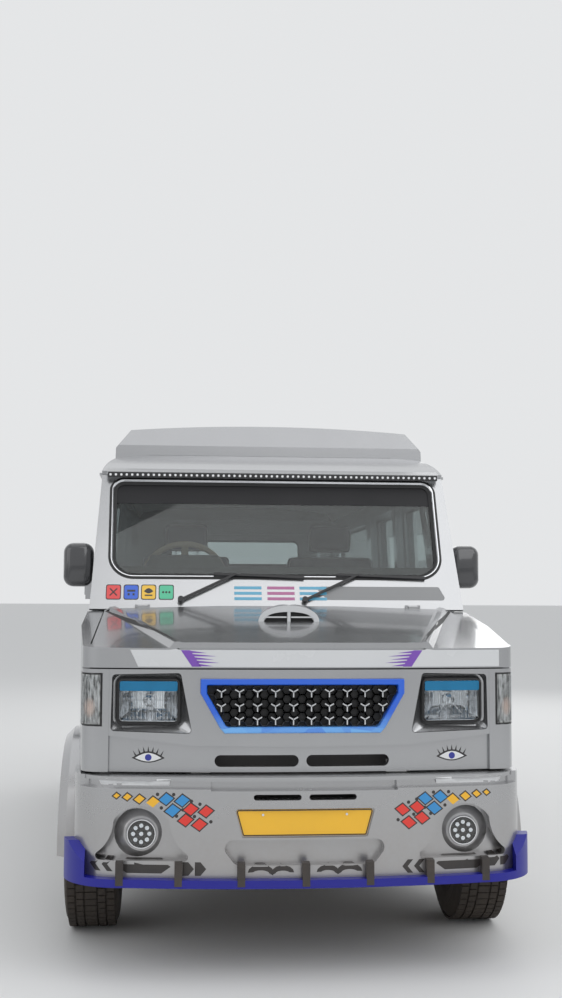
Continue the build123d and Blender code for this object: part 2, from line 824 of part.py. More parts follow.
# Nose panel between the wings: openings for the headlamps, the grille and two slots
lamp_recess = ((402, 853), (445, 1072), (694, 1066), (698, 862))
grille_outline = ((374, 1052), (374, 1000), (303, 876), (285, 856))
slot_z = 755
nose_slot = (167, 306, 42)


def nose_arc(inset, wall, half):
    # Plan strip behind the nose arc
    with BuildSketch(Plane.XY) as strip_plan:
        with BuildLine():
            ThreePointArc(
                (-front_sag_half, st(front_sag + inset)),
                (0, st(inset)),
                (front_sag_half, st(front_sag + inset)),
            )
            Line((front_sag_half, st(front_sag + inset)), (front_sag_half, st(front_sag + inset + wall)))
            ThreePointArc(
                (front_sag_half, st(front_sag + inset + wall)),
                (0, st(inset + wall)),
                (-front_sag_half, st(front_sag + inset + wall)),
            )
            Line((-front_sag_half, st(front_sag + inset + wall)), (-front_sag_half, st(front_sag + inset)))
        make_face()
        with Locations((0, st(0))):
            Rectangle(2 * half, 400, mode=Mode.INTERSECT)
    return strip_plan.sketch


def mirrored_outline(points, radius=0):
    return outline_xz(both_sides(points), radius)


def through_y(face):
    # Cutter that runs through the front end along Y
    return extrude(face, amount=tail_y + 200, both=True, mode=Mode.PRIVATE)


crease_points = ((0, crease_z - 4), (402, crease_z), (720, crease_z + 36), (720, 600), (0, 600))
with BuildPart() as nose_panel:
    add(upright(nose_arc(0, nose_wall, nose_half), nose_low, strip_low - 5))
    below = through_y(outline_xz(crease_points))
    below = below + mirrored(below)
    add(below & upright(nose_arc(-40, 54, nose_half + 10), 0, 1500), mode=Mode.SUBTRACT)
    for outline in (outline_xz(lamp_recess, 14), outline_xz([(-x, z) for x, z in lamp_recess], 14)):
        add(through_y(outline), mode=Mode.SUBTRACT)
    add(through_y(mirrored_outline(grille_outline)), mode=Mode.SUBTRACT)
    with BuildSketch(Plane.XZ) as slots:
        with Locations((-nose_slot[0], slot_z), (nose_slot[0], slot_z)):
            SlotOverall(nose_slot[1], nose_slot[2])
    add(through_y(slots.sketch), mode=Mode.SUBTRACT)
nose_panel.part.label = "nose_panel"
export_step(nose_panel.part, "parts/nose_panel.step")

# Grille: a frame round a plate whose openings leave rows of three-armed stars
star_rows = 3
star_pitch_x = 68
star_pitch_z = 54
star_radius = 26
star_arm = 9
star_row_z = 1005
grille_depth = 34


def star_face():
    with BuildSketch() as star:
        with PolarLocations(0, 3, start_angle=90):
            with Locations((star_radius / 2, 0)):
                Rectangle(star_radius, star_arm)
        Circle(star_arm * 0.8)
    return star.sketch


grille_inner = ((350, 1030), (350, 1000), (282, 884), (272, 878))
with BuildPart() as grille:
    grille_middle_z = (grille_outline[0][1] + grille_outline[-1][1]) / 2
    seated = [(x - seat_gap, z - math.copysign(seat_gap, z - grille_middle_z)) for x, z in grille_outline]
    body = through_y(mirrored_outline(seated))
    frame_ring = body - through_y(mirrored_outline(grille_inner))
    add(frame_ring & block((-500, 500), (-8, 74), (800, 1100)))
    add(body & block((-380, 380), (grille_depth + 8, grille_depth + 14), (858, 1050)))
    for row in range(star_rows):
        half_row = 330 - 26 * row
        count = int(2 * half_row // star_pitch_x)
        for column in range(count):
            x = (column - (count - 1) / 2) * star_pitch_x
            centre = (x, st(grille_depth + 10), star_row_z - row * star_pitch_z)
            star = Plane(centre, x_dir=(1, 0, 0), z_dir=(0, -1, 0)) * star_face()
            add(extrude(star, amount=14, mode=Mode.PRIVATE))
grille.part.label = "grille"
export_step(grille.part, "parts/grille.step")

# Plan and pockets of the front bumper
bumper_mid = (640, -38)
bumper_corner = (776, 22)
bumper_side = (828, 140)
bumper_end_half = 838
bumper_return = 35
plate_recess = ((251, 600), (224, 500))
scoop_opening = ((317, 492), (247, 404))
fog_x = 580
fog_z = 510
fog_radius = 48
fog_pocket_low = 418
fog_pocket_high = 608
shelf_wall = 14
ledges = (
    # half width, depth, height
    (1000, 26, 668),
    (335, 40, 662),
)
plate_recess_depth = 20
scoop_depth = 38
bumper_slot = (99, 170, 20)
bumper_slot_z = 640


def bumper_plan(inset):
    trail = (bumper_side, (bumper_end_half, bumper_rear_station))
    return front_plan(-bumper_reach, bumper_mid, bumper_corner, trail, inset)


def bumper_ring(outer, inner, low, high):
    # Wall between two offsets of the bumper's plan, with a short return at each rear end
    ring = upright(bumper_plan(outer), low, high) - upright(bumper_plan(inner), low - 10, high + 10)
    open_half = bumper_end_half - bumper_wall - bumper_return
    return ring - block((-open_half, open_half), (150, 900), (low - 10, high + 10))


def fog_outline():
    # Bell-shaped pocket round a fog lamp: hollow flanks and a round top
    shoulder_z = fog_z + 48
    flank_z = fog_pocket_low + 52
    with BuildSketch(Plane.XZ) as bell:
        with BuildLine():
            Line((fog_x + 208, fog_pocket_low), (fog_x - 214, fog_pocket_low))
            ThreePointArc((fog_x - 214, fog_pocket_low), (fog_x - 132, flank_z), (fog_x - 98, shoulder_z))
            ThreePointArc((fog_x - 98, shoulder_z), (fog_x, fog_pocket_high), (fog_x + 98, shoulder_z))
            ThreePointArc((fog_x + 98, shoulder_z), (fog_x + 130, flank_z), (fog_x + 208, fog_pocket_low))
        make_face()
        fillet(bell.vertices().group_by(Axis.Z)[0], 14)
    return bell.sketch


# Lamps: headlamp units in their recesses, corner lamps and fog lamps
headlamp = ((455, 895), (455, 1043), (668, 1043), (668, 895))
fog_lamp_length = 84
fog_collar = 60
fog_collar_length = 50
fog_pocket_depth = 40
with BuildPart() as front_lamps:
    with BuildSketch(Plane.XZ) as unit_face:
        add(outline_xz(lamp_recess, 14))
        offset(amount=-seat_gap)
    unit = through_y(unit_face.sketch) & upright(nose_arc(30, 22, nose_half), 800, 1100)
    lens = through_y(outline_xz(headlamp, 12)) & upright(nose_arc(8, 90, nose_half), 800, 1100)
    add(unit)
    add(lens)
    corner = upright(body_plan(0), corner_lamp_low + seat_gap, corner_lamp_high - seat_gap)
    corner = corner & block((corner_lamp_x + seat_gap, 1000), (-50, corner_lamp_rear - seat_gap), (800, 1100))
    add(corner - upright(body_plan(wing_wall - 8), 800, 1100))
    pocket_back = upright(bumper_plan(fog_pocket_depth - seat_gap), 300, 700)
    fog_centre = (fog_x, st(0), fog_z)
    add(rod(fog_centre, (0, 1, 0), fog_radius, fog_lamp_length) - pocket_back)
    add(rod(fog_centre, (0, 1, 0), fog_collar, fog_collar_length) - pocket_back)
    mirror(about=Plane.YZ)
front_lamps.part.label = "front_lamps"
export_step(front_lamps.part, "parts/front_lamps.step")

# Front bumper: a moulded wall round the nose with pockets for the plate, scoop and fog lamps
with BuildPart() as front_bumper:
    add(bumper_ring(0, bumper_wall, bumper_low, bumper_top))
    add(block((-1000, 1000), (-200, bumper_rear_station), (0, 1000)), mode=Mode.INTERSECT)
    for half, depth, low in ledges:
        ledge = upright(bumper_plan(-10), low, bumper_top + 10)
        ledge = ledge - upright(bumper_plan(depth), low - 10, bumper_top + 20)
        add(ledge & block((-half, half), (-200, 60), (0, 1000)), mode=Mode.SUBTRACT)
    shelf = upright(bumper_plan(shelf_wall), bumper_top - shelf_wall, bumper_top)
    add(shelf & block((-1000, 1000), (-200, 60), (0, 1000)))
    pockets = (
        # outline, depth
        (mirrored_outline(scoop_opening, 30), scoop_depth),
        (fog_outline(), fog_pocket_depth),
        (mirrored(fog_outline()), fog_pocket_depth),
    )
    for outline, depth in pockets:
        hollow = through_y(outline) & block((-1000, 1000), (-200, 200), (300, 700))
        add(hollow - upright(bumper_plan(depth), 290, 710), mode=Mode.SUBTRACT)
    plate_hollow = block((-1000, 1000), (-200, plate_recess_depth - bumper_reach), (300, 700))
    add(through_y(mirrored_outline(plate_recess, 8)) & plate_hollow, mode=Mode.SUBTRACT)
    with BuildSketch(Plane.XZ) as slots:
        with Locations((-bumper_slot[0], bumper_slot_z), (bumper_slot[0], bumper_slot_z)):
            SlotOverall(bumper_slot[1], bumper_slot[2])
    add(through_y(slots.sketch) & block((-400, 400), (-200, 100), (500, 700)), mode=Mode.SUBTRACT)
    for side in (1, -1):
        span = sorted((side * (rail_inner + 4), side * (rail_outer - 4)))
        add(block(span, (-40, rail_front_station - seat_gap), (455, 540)))
front_bumper.part.label = "front_bumper"
export_step(front_bumper.part, "parts/front_bumper.step")

# Lower lip under the bumper, with raised ends and upright fins
lip_wall = 76
lip_rear_station = 130
lip_end_x = 780
lip_end_top = 474
lip_end_profile = ((-40, 300), (-40, 400), (60, lip_end_top), (200, lip_end_top), (200, 300))
fin_x = (-655, -448, -228, 0, 228, 448, 655)
fin_half = 12
fin_top = 416
with BuildPart() as bumper_lip:
    add(bumper_ring(-lip_overhang, lip_wall - lip_overhang, lip_low, lip_end_top))
    add(block((-1000, 1000), (-200, lip_rear_station), (0, 1000)), mode=Mode.INTERSECT)
    add(upright(bumper_plan(-seat_gap), bumper_low - seat_gap, lip_end_top + 10), mode=Mode.SUBTRACT)
    above = block((-1000, 1000), (-200, 200), (bumper_low - seat_gap, lip_end_top + 10))
    for x in fin_x:
        above = above - block((x - fin_half, x + fin_half), (-200, 200), (0, fin_top))
    ends = across(outline_yz(lip_end_profile), 1000) - block((-lip_end_x, lip_end_x), (-200, 300), (0, 1000))
    add(above - ends, mode=Mode.SUBTRACT)
bumper_lip.part.label = "bumper_lip"
export_step(bumper_lip.part, "parts/bumper_lip.step")

# Tail: the rear frame, the side-hinged tail door and its glass
tail_door_half = 610
tail_door_low = 600
tail_door_high = door_top
tail_window = ((500, 1345), (490, window_top - 25))
tail_front_station = tail_station - side_wall
tail_door_station = tail_station - door_wall
tail_hinge_x = -(tail_door_half + shut_gap / 2)
tail_hinge_station = tail_station + 8
tail_hinge_heights = (760, 1230, 1700)
tail_lamp_x = (645, 716)
tail_lamp_z = (1020, 1290)


def tail_outline(grow, radius):
    with BuildSketch(Plane.XZ) as face:
        with Locations((0, (tail_door_low + tail_door_high) / 2)):
            RectangleRounded(2 * (tail_door_half + grow), tail_door_high - tail_door_low + 2 * grow, radius)
    return face.sketch


with BuildPart() as rear_frame:
    add(along_y(cabin_section(seat_gap), tail_front_station, tail_station))
    add(block((-1000, 1000), (rear_axle_station, tail_station + 10), (560, gutter_z)), mode=Mode.INTERSECT)
    rebate = along_y(tail_outline(shut_gap, 60), tail_door_station - seal_gap, tail_station + 10)
    add(rebate, mode=Mode.SUBTRACT)
    add(along_y(tail_outline(-jamb, 30), tail_front_station - 10, tail_station + 10), mode=Mode.SUBTRACT)
    for side in (1, -1):
        span = sorted((side * tail_lamp_x[0], side * tail_lamp_x[1]))
        add(block(span, (tail_station - 40, tail_station + 10), tail_lamp_z), mode=Mode.SUBTRACT)
    for height in tail_hinge_heights:
        for level in (height - 31, height + 31):
            lug_stations = (tail_station - 30, tail_hinge_station + 5)
            lug = block((tail_hinge_x - 22, tail_hinge_x + 6), lug_stations, (level - 6, level + 6))
            notch = block((tail_hinge_x - 5, tail_hinge_x + 50), (tail_station - 60, tail_station), (0, 2000))
            add(lug - notch)
        add(rod((tail_hinge_x, st(tail_hinge_station), height), (0, 0, 1), hinge_pin, 74))
rear_frame.part.label = "rear_frame"
export_step(rear_frame.part, "parts/rear_frame.step")

with BuildPart() as tail_door:
    add(along_y(tail_outline(0, 50), tail_door_station, tail_station))
    add(through_y(mirrored_outline(tail_window, 50)), mode=Mode.SUBTRACT)
    for height in tail_hinge_heights:
        pivot = (tail_hinge_x, st(tail_hinge_station), height)
        add(rod(pivot, (0, 0, 1), hinge_barrel + 3, 2 * hinge_half_height))
        strap_stations = (tail_station - 2, tail_hinge_station + 5)
        strap = block((tail_hinge_x, tail_hinge_x + 120), strap_stations, (height - 20, height + 20))
        add(strap - block((tail_hinge_x - 1, tail_hinge_x + 5), (tail_station - 10, tail_station), (0, 2000)))
        add(rod(pivot, (0, 0, 1), hinge_pin + seat_gap, 80), mode=Mode.SUBTRACT)
    handle_span = (tail_door_half - 150, tail_door_half - 40)
    add(block(handle_span, (tail_station - 1, tail_station + 30), (handle_z - 2, handle_z + handle_height)))
tail_door.part.label = "tail_door"
export_step(tail_door.part, "parts/tail_door.step")

with BuildPart() as tail_glass:
    window_middle_z = (tail_window[0][1] + tail_window[1][1]) / 2
    shrunk = [(x - seat_gap, z - math.copysign(seat_gap, z - window_middle_z)) for x, z in tail_window]
    add(along_y(mirrored_outline(shrunk, 50), tail_station - 24, tail_station - 18))
tail_glass.part.label = "tail_glass"
export_step(tail_glass.part, "parts/tail_glass.step")

with BuildPart() as tail_lamps:
    for side in (1, -1):
        span = sorted((side * (tail_lamp_x[0] + seat_gap), side * (tail_lamp_x[1] - seat_gap)))
        lamp_heights = (tail_lamp_z[0] + seat_gap, tail_lamp_z[1] - seat_gap)
        add(block(span, (tail_station - 40 + seat_gap, tail_station + 12), lamp_heights))
tail_lamps.part.label = "tail_lamps"
export_step(tail_lamps.part, "parts/tail_lamps.step")

with BuildPart() as rear_bumper:
    add(block((-840, 840), (tail_station + seat_gap, tail_station + rear_bumper_depth), (430, 590)))
    fillet(rear_bumper.edges().filter_by(Axis.Z).group_by(Axis.Y)[-1], 60)
    for side in (1, -1):
        span = sorted((side * (rail_inner + 4), side * (rail_outer - 4)))
        add(block(span, (rail_rear_station + seat_gap, tail_station + 10), (470, 555)))
rear_bumper.part.label = "rear_bumper"
export_step(rear_bumper.part, "parts/rear_bumper.step")

# Roof deflector: a leaning panel whose foot follows the roof
deflector_station = 1600
deflector_depth = 190
deflector_foot = gutter_z + 35
deflector_points = (
    (gutter_half - 49, deflector_foot),
    (gutter_half - 53, crown_z),
    (gutter_half - 125, crown_z + 96),
    (0, crown_z + 125),
)
with BuildPart() as roof_deflector:
    with BuildSketch(Plane.XZ) as front_view:
        with BuildLine():
            Polyline((0, deflector_foot), *deflector_points[:3])
            shoulder, top = deflector_points[2:]
            ThreePointArc(shoulder, (shoulder[0] / 2, crown_z + 118), top)
            Line(top, (0, deflector_foot))
        make_face()
        mirror(about=Plane.YZ)
    add(along_y(front_view.sketch, deflector_station, deflector_station + deflector_depth))
    lean = outline_yz(
        (
            (deflector_station, deflector_foot - 10),
            (deflector_station, crown_z + 15),
            (deflector_station + 70, crown_z + 130),
            (deflector_station + 110, crown_z + 130),
            (deflector_station + deflector_depth, crown_z + 35),
            (deflector_station + deflector_depth, deflector_foot - 10),
        )
    )
    add(across(lean, 1000), mode=Mode.INTERSECT)
    roof_below = along_y(roof_section(-seat_gap, 0), deflector_station - 10, deflector_station + 400)
    add(roof_below & across(roof_profile(-seat_gap, 0), 1000), mode=Mode.SUBTRACT)
roof_deflector.part.label = "roof_deflector"
export_step(roof_deflector.part, "parts/roof_deflector.step")

# Dashboard with the steering column, and the steering wheel on its shaft
dash_half = 738
dash_front_station = firewall_station + firewall_wall + seat_gap
dash_points = (
    (dash_front_station, 1040),
    (dash_front_station, 1300),
    (1200, 1440),
    (1270, 1492),
    (1350, 1486),
    (1430, 1400),
    (1440, 1280),
    (1380, 1120),
    (1260, 1040),
)
wheel_centre = (-420, 1510, 1440)
wheel_tilt = 32
column_length = 190
shaft_length = 150
steering_plane = Plane(
    origin=(wheel_centre[0], st(wheel_centre[1]), wheel_centre[2]),
    x_dir=(1, 0, 0),
    z_dir=(0, math.cos(math.radians(wheel_tilt)), math.sin(math.radians(wheel_tilt))),
)
with BuildPart() as dashboard:
    add(across(outline_yz(dash_points), dash_half))
    add(along_y(cabin_section(8), 1100, 1500), mode=Mode.INTERSECT)
    with BuildSketch(steering_plane.offset(-60)):
        Circle(34)
    extrude(amount=-column_length)
    with BuildSketch(steering_plane):
        Circle(12 + seat_gap)
    extrude(amount=-shaft_length - 30, mode=Mode.SUBTRACT)
dashboard.part.label = "dashboard"
export_step(dashboard.part, "parts/dashboard.step")

wheel_rim_radius = 192
with BuildPart() as steering_wheel:
    with BuildSketch(Plane(steering_plane.origin, x_dir=steering_plane.x_dir, z_dir=steering_plane.y_dir)):
        with Locations((wheel_rim_radius, 0)):
            RegularPolygon(14.5, 8)
    revolve(axis=Axis(steering_plane.origin, steering_plane.z_dir))
    with BuildSketch(steering_plane.offset(-34)):
        Circle(58)
    extrude(amount=38)
    with BuildSketch(steering_plane.offset(-14)):
        with PolarLocations(0, 3, start_angle=-90):
            with Locations((wheel_rim_radius / 2, 0)):
                Rectangle(wheel_rim_radius - 8, 34)
    extrude(amount=12)
    with BuildSketch(steering_plane.offset(-30)):
        Circle(12)
    extrude(amount=-shaft_length + 30)
steering_wheel.part.label = "steering_wheel"
export_step(steering_wheel.part, "parts/steering_wheel.step")

# Seats: two front seats, a middle bench and two side-facing benches over the wheel tubs
seat_x = 400
seat_half = 250
seat_points = ((1800, 930), (1800, 1060), (2250, 1020), (2330, 1560), (2440, 1570), (2390, 930))
with BuildPart() as front_seats:
    for x in (-seat_x, seat_x):
        seat_face = Pos(x - seat_half, 0, 0) * outline_yz(seat_points, 22)
        add(extrude(seat_face, amount=2 * seat_half, mode=Mode.PRIVATE))
        add(block((x - 190, x + 190), (1860, 2330), (floor_z + seat_gap, 940)))
        head = block((x - 125, x + 125), (2350, 2440), (1600, 1760))
        add(head.fillet(30, head.edges().filter_by(Axis.X)))
        for post in (x - 60, x + 60):
            add(block((post - 7, post + 7), (2382, 2396), (1540, 1620)))
front_seats.part.label = "front_seats"
export_step(front_seats.part, "parts/front_seats.step")

bench_points = ((2720, 930), (2720, 1060), (3100, 1025), (3160, 1560), (3250, 1570), (3230, 930))
side_bench_points = ((420, 940), (420, 1060), (640, 1040), (672, 1290), (735, 1290), (735, 940))
side_bench_front = rear_axle_station - 350
side_bench_rear = tail_front_station - 76
with BuildPart() as rear_seats:
    add(across(outline_yz(bench_points, 22), 660))
    for x in (-420, 420):
        add(block((x - 190, x + 190), (2790, 3180), (floor_z + seat_gap, 940)))
    for side in (1, -1):
        cushion = outline_xz([(side * x, z) for x, z in side_bench_points], 18)
        add(along_y(cushion, side_bench_front, side_bench_rear))
        base_stations = (side_bench_front + 40, side_bench_rear - 40)
        add(block(sorted((side * 440, side * 545)), base_stations, (floor_z + seat_gap, 950)))
rear_seats.part.label = "rear_seats"
export_step(rear_seats.part, "parts/rear_seats.step")

# Engine, gearbox, propeller shaft and radiator
shaft_drop_station = 1650
diff_front_station = rear_axle_station - 130
with BuildPart() as powertrain:
    add(block((-215, 215), (380, 1000), (430, 1000)))
    add(block((-rail_inner + seat_gap, rail_inner - seat_gap), (620, 740), (462, 500)))
    with BuildSketch(Plane.XZ.offset(-st(1000))):
        with Locations((0, 470)):
            Circle(140)
    with BuildSketch(Plane.XZ.offset(-st(shaft_drop_station))):
        with Locations((0, 450)):
            Circle(75)
    loft()
    shaft_start = Vector(0, st(shaft_drop_station - 5), 445)
    shaft_end = Vector(0, st(diff_front_station - seat_gap), tyre_radius)
    with BuildSketch(Plane(origin=shaft_start, z_dir=shaft_end - shaft_start)):
        Circle(34)
    extrude(amount=(shaft_end - shaft_start).length - 6)
    add(block((-330, 330), (145 + seat_gap, 195), (480, 1010)))
powertrain.part.label = "powertrain"
export_step(powertrain.part, "parts/powertrain.step")

# Front suspension: a crossmember under the rails and an upper and a lower arm on each side
arm_low = (250, 285)
arm_high = (470, 500)
ball_radius = 13


def arm(low, high, inner):
    with BuildSketch(Plane.XY.offset(low)) as plan:
        with BuildLine():
            Polyline(
                (inner, front_axle_y - 150),
                (kingpin_x + 24, front_axle_y - 12),
                (kingpin_x + 24, front_axle_y + 12),
                (inner, front_axle_y + 150),
                (inner, front_axle_y + 80),
                (inner + 100, front_axle_y),
                (inner, front_axle_y - 80),
                close=True,
            )
        make_face()
        with Locations((kingpin_x, front_axle_y)):
            Circle(ball_radius + seat_gap, mode=Mode.SUBTRACT)
    return extrude(plan.sketch, amount=high - low, mode=Mode.PRIVATE)


with BuildPart() as front_suspension:
    add(block((-420, 420), (axle_station - 60, axle_station + 60), (290, 400)))
    for side in (1, -1):
        rail_span = sorted((side * rail_inner, side * rail_outer))
        add(block(rail_span, (axle_station - 170, axle_station + 170), (250, 440 - seat_gap)))
        lower = arm(arm_low[0], arm_low[1], rail_outer - 2)
        upper = arm(arm_high[0], arm_high[1], rail_outer + seat_gap)
        add(lower if side == 1 else mirrored(lower))
        add(upper if side == 1 else mirrored(upper))
front_suspension.part.label = "front_suspension"
export_step(front_suspension.part, "parts/front_suspension.step")

# Steering knuckles: an upright between the arms, a spindle and the brake behind the wheel
brake_radius = 135
knuckle_discs = (
    # radius, inner x, outer x
    (spindle_radius, kingpin_x, wheel_x + 62),
    (brake_radius, kingpin_x + 32, kingpin_x + 52),
    (52, kingpin_x + 20, kingpin_x + 60),
)
for side, side_name in ((1, "left"), (-1, "right")):
    with BuildPart() as knuckle:
        upright_span = sorted((side * (kingpin_x - 22), side * (kingpin_x + 30)))
        add(block(upright_span, (axle_station - 32, axle_station + 32), (arm_low[1] + 1, arm_high[0] - 1)))
        kingpin_middle = (side * kingpin_x, front_axle_y, (arm_low[0] + arm_high[1]) / 2)
        add(rod(kingpin_middle, (0, 0, 1), ball_radius, arm_high[1] - arm_low[0]))
        for radius, near, far in knuckle_discs:
            with BuildSketch(Plane.YZ.offset(side * near)) as disc:
                with Locations((front_axle_y, tyre_radius)):
                    Circle(radius)
            add(extrude(disc.sketch, amount=far - near, dir=(side, 0, 0), mode=Mode.PRIVATE))
    knuckle.part.label = f"knuckle_{side_name}"
    export_step(knuckle.part, f"parts/knuckle_{side_name}.step")

# Rear axle: beam, differential, drums and leaf springs hung from the rails
spring_x = 492
spring_half = 32
spring_half_length = 640
spring_end_z = 450
with BuildPart() as rear_axle:
    for radius, half in ((38, 700), (58, 96), (spindle_radius, wheel_x + 62)):
        with BuildSketch(Plane.YZ) as beam:
            with Locations((rear_axle_y, tyre_radius)):
                Circle(radius)
        add(across(beam.sketch, half))
    add(Pos(0, rear_axle_y, tyre_radius) * Sphere(122, mode=Mode.PRIVATE))
    with BuildSketch(Plane.XZ.offset(-st(diff_front_station))) as nose:
        with Locations((0, tyre_radius)):
            Circle(55)
    add(extrude(nose.sketch, amount=100, dir=(0, 1, 0), mode=Mode.PRIVATE))
    for side in (1, -1):
        for radius, near, far in ((140, 690, 732), (60, 730, 745)):
            with BuildSketch(Plane.YZ.offset(side * near)) as drum:
                with Locations((rear_axle_y, tyre_radius)):
                    Circle(radius)
            add(extrude(drum.sketch, amount=far - near, dir=(side, 0, 0), mode=Mode.PRIVATE))
        with BuildSketch(Plane.YZ.offset(side * (spring_x - spring_half))) as spring:
            with BuildLine():
                ends = (rear_axle_y - spring_half_length, rear_axle_y + spring_half_length)
                ThreePointArc((ends[0], spring_end_z), (rear_axle_y, 285), (ends[1], spring_end_z))
                Line((ends[1], spring_end_z), (ends[1], spring_end_z + 18))
                ThreePointArc((ends[1], spring_end_z + 18), (rear_axle_y, 318), (ends[0], spring_end_z + 18))
                Line((ends[0], spring_end_z + 18), (ends[0], spring_end_z))
            make_face()
        add(extrude(spring.sketch, amount=2 * spring_half, dir=(side, 0, 0), mode=Mode.PRIVATE))
        hanger_span = sorted((side * (rail_outer + seat_gap), side * (spring_x + spring_half)))
        for station in (rear_axle_station - spring_half_length, rear_axle_station + spring_half_length):
            add(block(hanger_span, (station - 40, station + 40), (spring_end_z - 10, spring_end_z + 80)))
        clamp_span = sorted((side * (spring_x - spring_half), side * (spring_x + spring_half)))
        add(block(clamp_span, (rear_axle_station - 60, rear_axle_station + 60), (300, 400)))
rear_axle.part.label = "rear_axle"
export_step(rear_axle.part, "parts/rear_axle.step")

# Exhaust, fuel tank and spare wheel
pipe_station = 1030
exhaust_x = 300
exhaust_z = 440
with BuildPart() as exhaust:
    with BuildSketch(Plane.XZ.offset(-st(pipe_station))) as pipe:
        with Locations((exhaust_x, exhaust_z)):
            Circle(25)
    pipe_length = rear_axle_station + 300 - pipe_station
    add(extrude(pipe.sketch, amount=pipe_length, dir=(0, 1, 0), mode=Mode.PRIVATE))
    with BuildSketch(Plane.XZ.offset(-st(2620))) as muffler:
        with Locations((exhaust_x - 40, exhaust_z - 5)):
            Ellipse(110, 75)
    add(extrude(muffler.sketch, amount=560, dir=(0, 1, 0), mode=Mode.PRIVATE))
    add(block((215 + seat_gap, 310), (970, 1040), (432, 470)))
    for station in (2520, rear_axle_station - 550):
        add(block((exhaust_x - 8, exhaust_x + 8), (station - 15, station + 15), (455, 490 - seat_gap)))
exhaust.part.label = "exhaust"
export_step(exhaust.part, "parts/exhaust.step")

with BuildPart() as fuel_tank:
    tank = block((-735, -rail_outer - seat_gap), (1900, 2780), (345, 560))
    add(tank.fillet(35, tank.edges().filter_by(Axis.Y)))
fuel_tank.part.label = "fuel_tank"
export_step(fuel_tank.part, "parts/fuel_tank.step")


def wheel_plane(x, y, side):
    # Plane whose axis points out of the van through a wheel
    return Plane(origin=(x, y, tyre_radius), x_dir=(0, side, 0), z_dir=(side, 0, 0))


# Tyre and wheel sections, as (radius, distance outwards from the wheel's middle)
bead_radius = rim_radius - 6
rim_half_width = 88
tyre_half = tyre_width / 2
bead_face = rim_half_width - 7 - seat_gap


def tyre_part():
    with BuildPart() as tyre_solid:
        with BuildSketch(Plane.XZ):
            with BuildLine():
                Polyline(
                    (rim_radius + 9, -bead_face),
                    (bead_radius + seat_gap, -bead_face),
                    (bead_radius + seat_gap, bead_face),
                    (rim_radius + 9, bead_face),
                )
                Polyline(
                    (rim_radius + 9, bead_face),
                    (rim_radius + 44, tyre_half - 1),
                    (tyre_radius - 62, tyre_half),
                    (tyre_radius - 22, tyre_half - 13),
                    (tyre_radius - 4, tyre_half - 30),
                    (tyre_radius, 40),
                    (tyre_radius, -40),
                    (tyre_radius - 4, 30 - tyre_half),
                    (tyre_radius - 22, 13 - tyre_half),
                    (tyre_radius - 62, -tyre_half),
                    (rim_radius + 44, 1 - tyre_half),
                    (rim_radius + 9, -bead_face),
                )
            make_face()
        revolve(axis=Axis.Z)
    return tyre_solid.part


def rim_part(solid_hub):
    with BuildPart() as rim_solid:
        with BuildSketch(Plane.XZ):
            with BuildLine():
                Polyline(
                    (rim_radius + 8, -rim_half_width),
                    (rim_radius + 8, -rim_half_width + 6),
                    (bead_radius, -rim_half_width + 7),
                    (bead_radius, rim_half_width - 7),
                    (rim_radius + 8, rim_half_width - 6),
                    (rim_radius + 8, rim_half_width),
                    (bead_radius - 8, rim_half_width),
                    (bead_radius - 14, 52),
                    (150, 40),
                    (118, 62),
                    (72, 58),
                    (62, 34),
                    (spindle_radius + seat_gap, 34),
                    (spindle_radius + seat_gap, 16),
                    (74, 16),
                    (84, 44),
                    (114, 46),
                    (148, 24),
                    (bead_radius - 14, 32),
                    (bead_radius - 8, -rim_half_width),
                    close=True,
                )
            make_face()
        revolve(axis=Axis.Z)
        with BuildSketch():
            with PolarLocations(134, 8):
                Circle(13)
        extrude(amount=100, mode=Mode.SUBTRACT)
        if solid_hub:
            with BuildSketch(Plane.XY.offset(16)):
                Circle(spindle_radius + 5)
            extrude(amount=18)
    return rim_solid.part


wheels = (
    # name, side, axle
    ("front_left", 1, front_axle_y),
    ("front_right", -1, front_axle_y),
    ("rear_left", 1, rear_axle_y),
    ("rear_right", -1, rear_axle_y),
)
tyre_shape = tyre_part()
rim_shape = rim_part(False)
for name, side, axle_y in wheels:
    place = wheel_plane(side * wheel_x, axle_y, side)
    tyre = place * tyre_shape
    tyre.label = f"tyre_{name}"
    export_step(tyre, f"parts/tyre_{name}.step")
    rim = place * rim_shape
    rim.label = f"rim_{name}"
    export_step(rim, f"parts/rim_{name}.step")

with BuildPart() as spare_wheel:
    spare_top = spare_carrier_z - 1 - seat_gap
    spare_centre = (0, st(spare_station), spare_top - tyre_half)
    spare_plane = Plane(origin=spare_centre, x_dir=(1, 0, 0), z_dir=(0, 0, -1))
    add(spare_plane * tyre_shape)
    add(spare_plane * rim_part(True))
    hoist_low = spare_top - 140
    hoist_high = spare_carrier_z - seat_gap
    add(rod((0, st(spare_station), (hoist_low + hoist_high) / 2), (0, 0, 1), 12, hoist_high - hoist_low))
spare_wheel.part.label = "spare_wheel"
export_step(spare_wheel.part, "parts/spare_wheel.step")

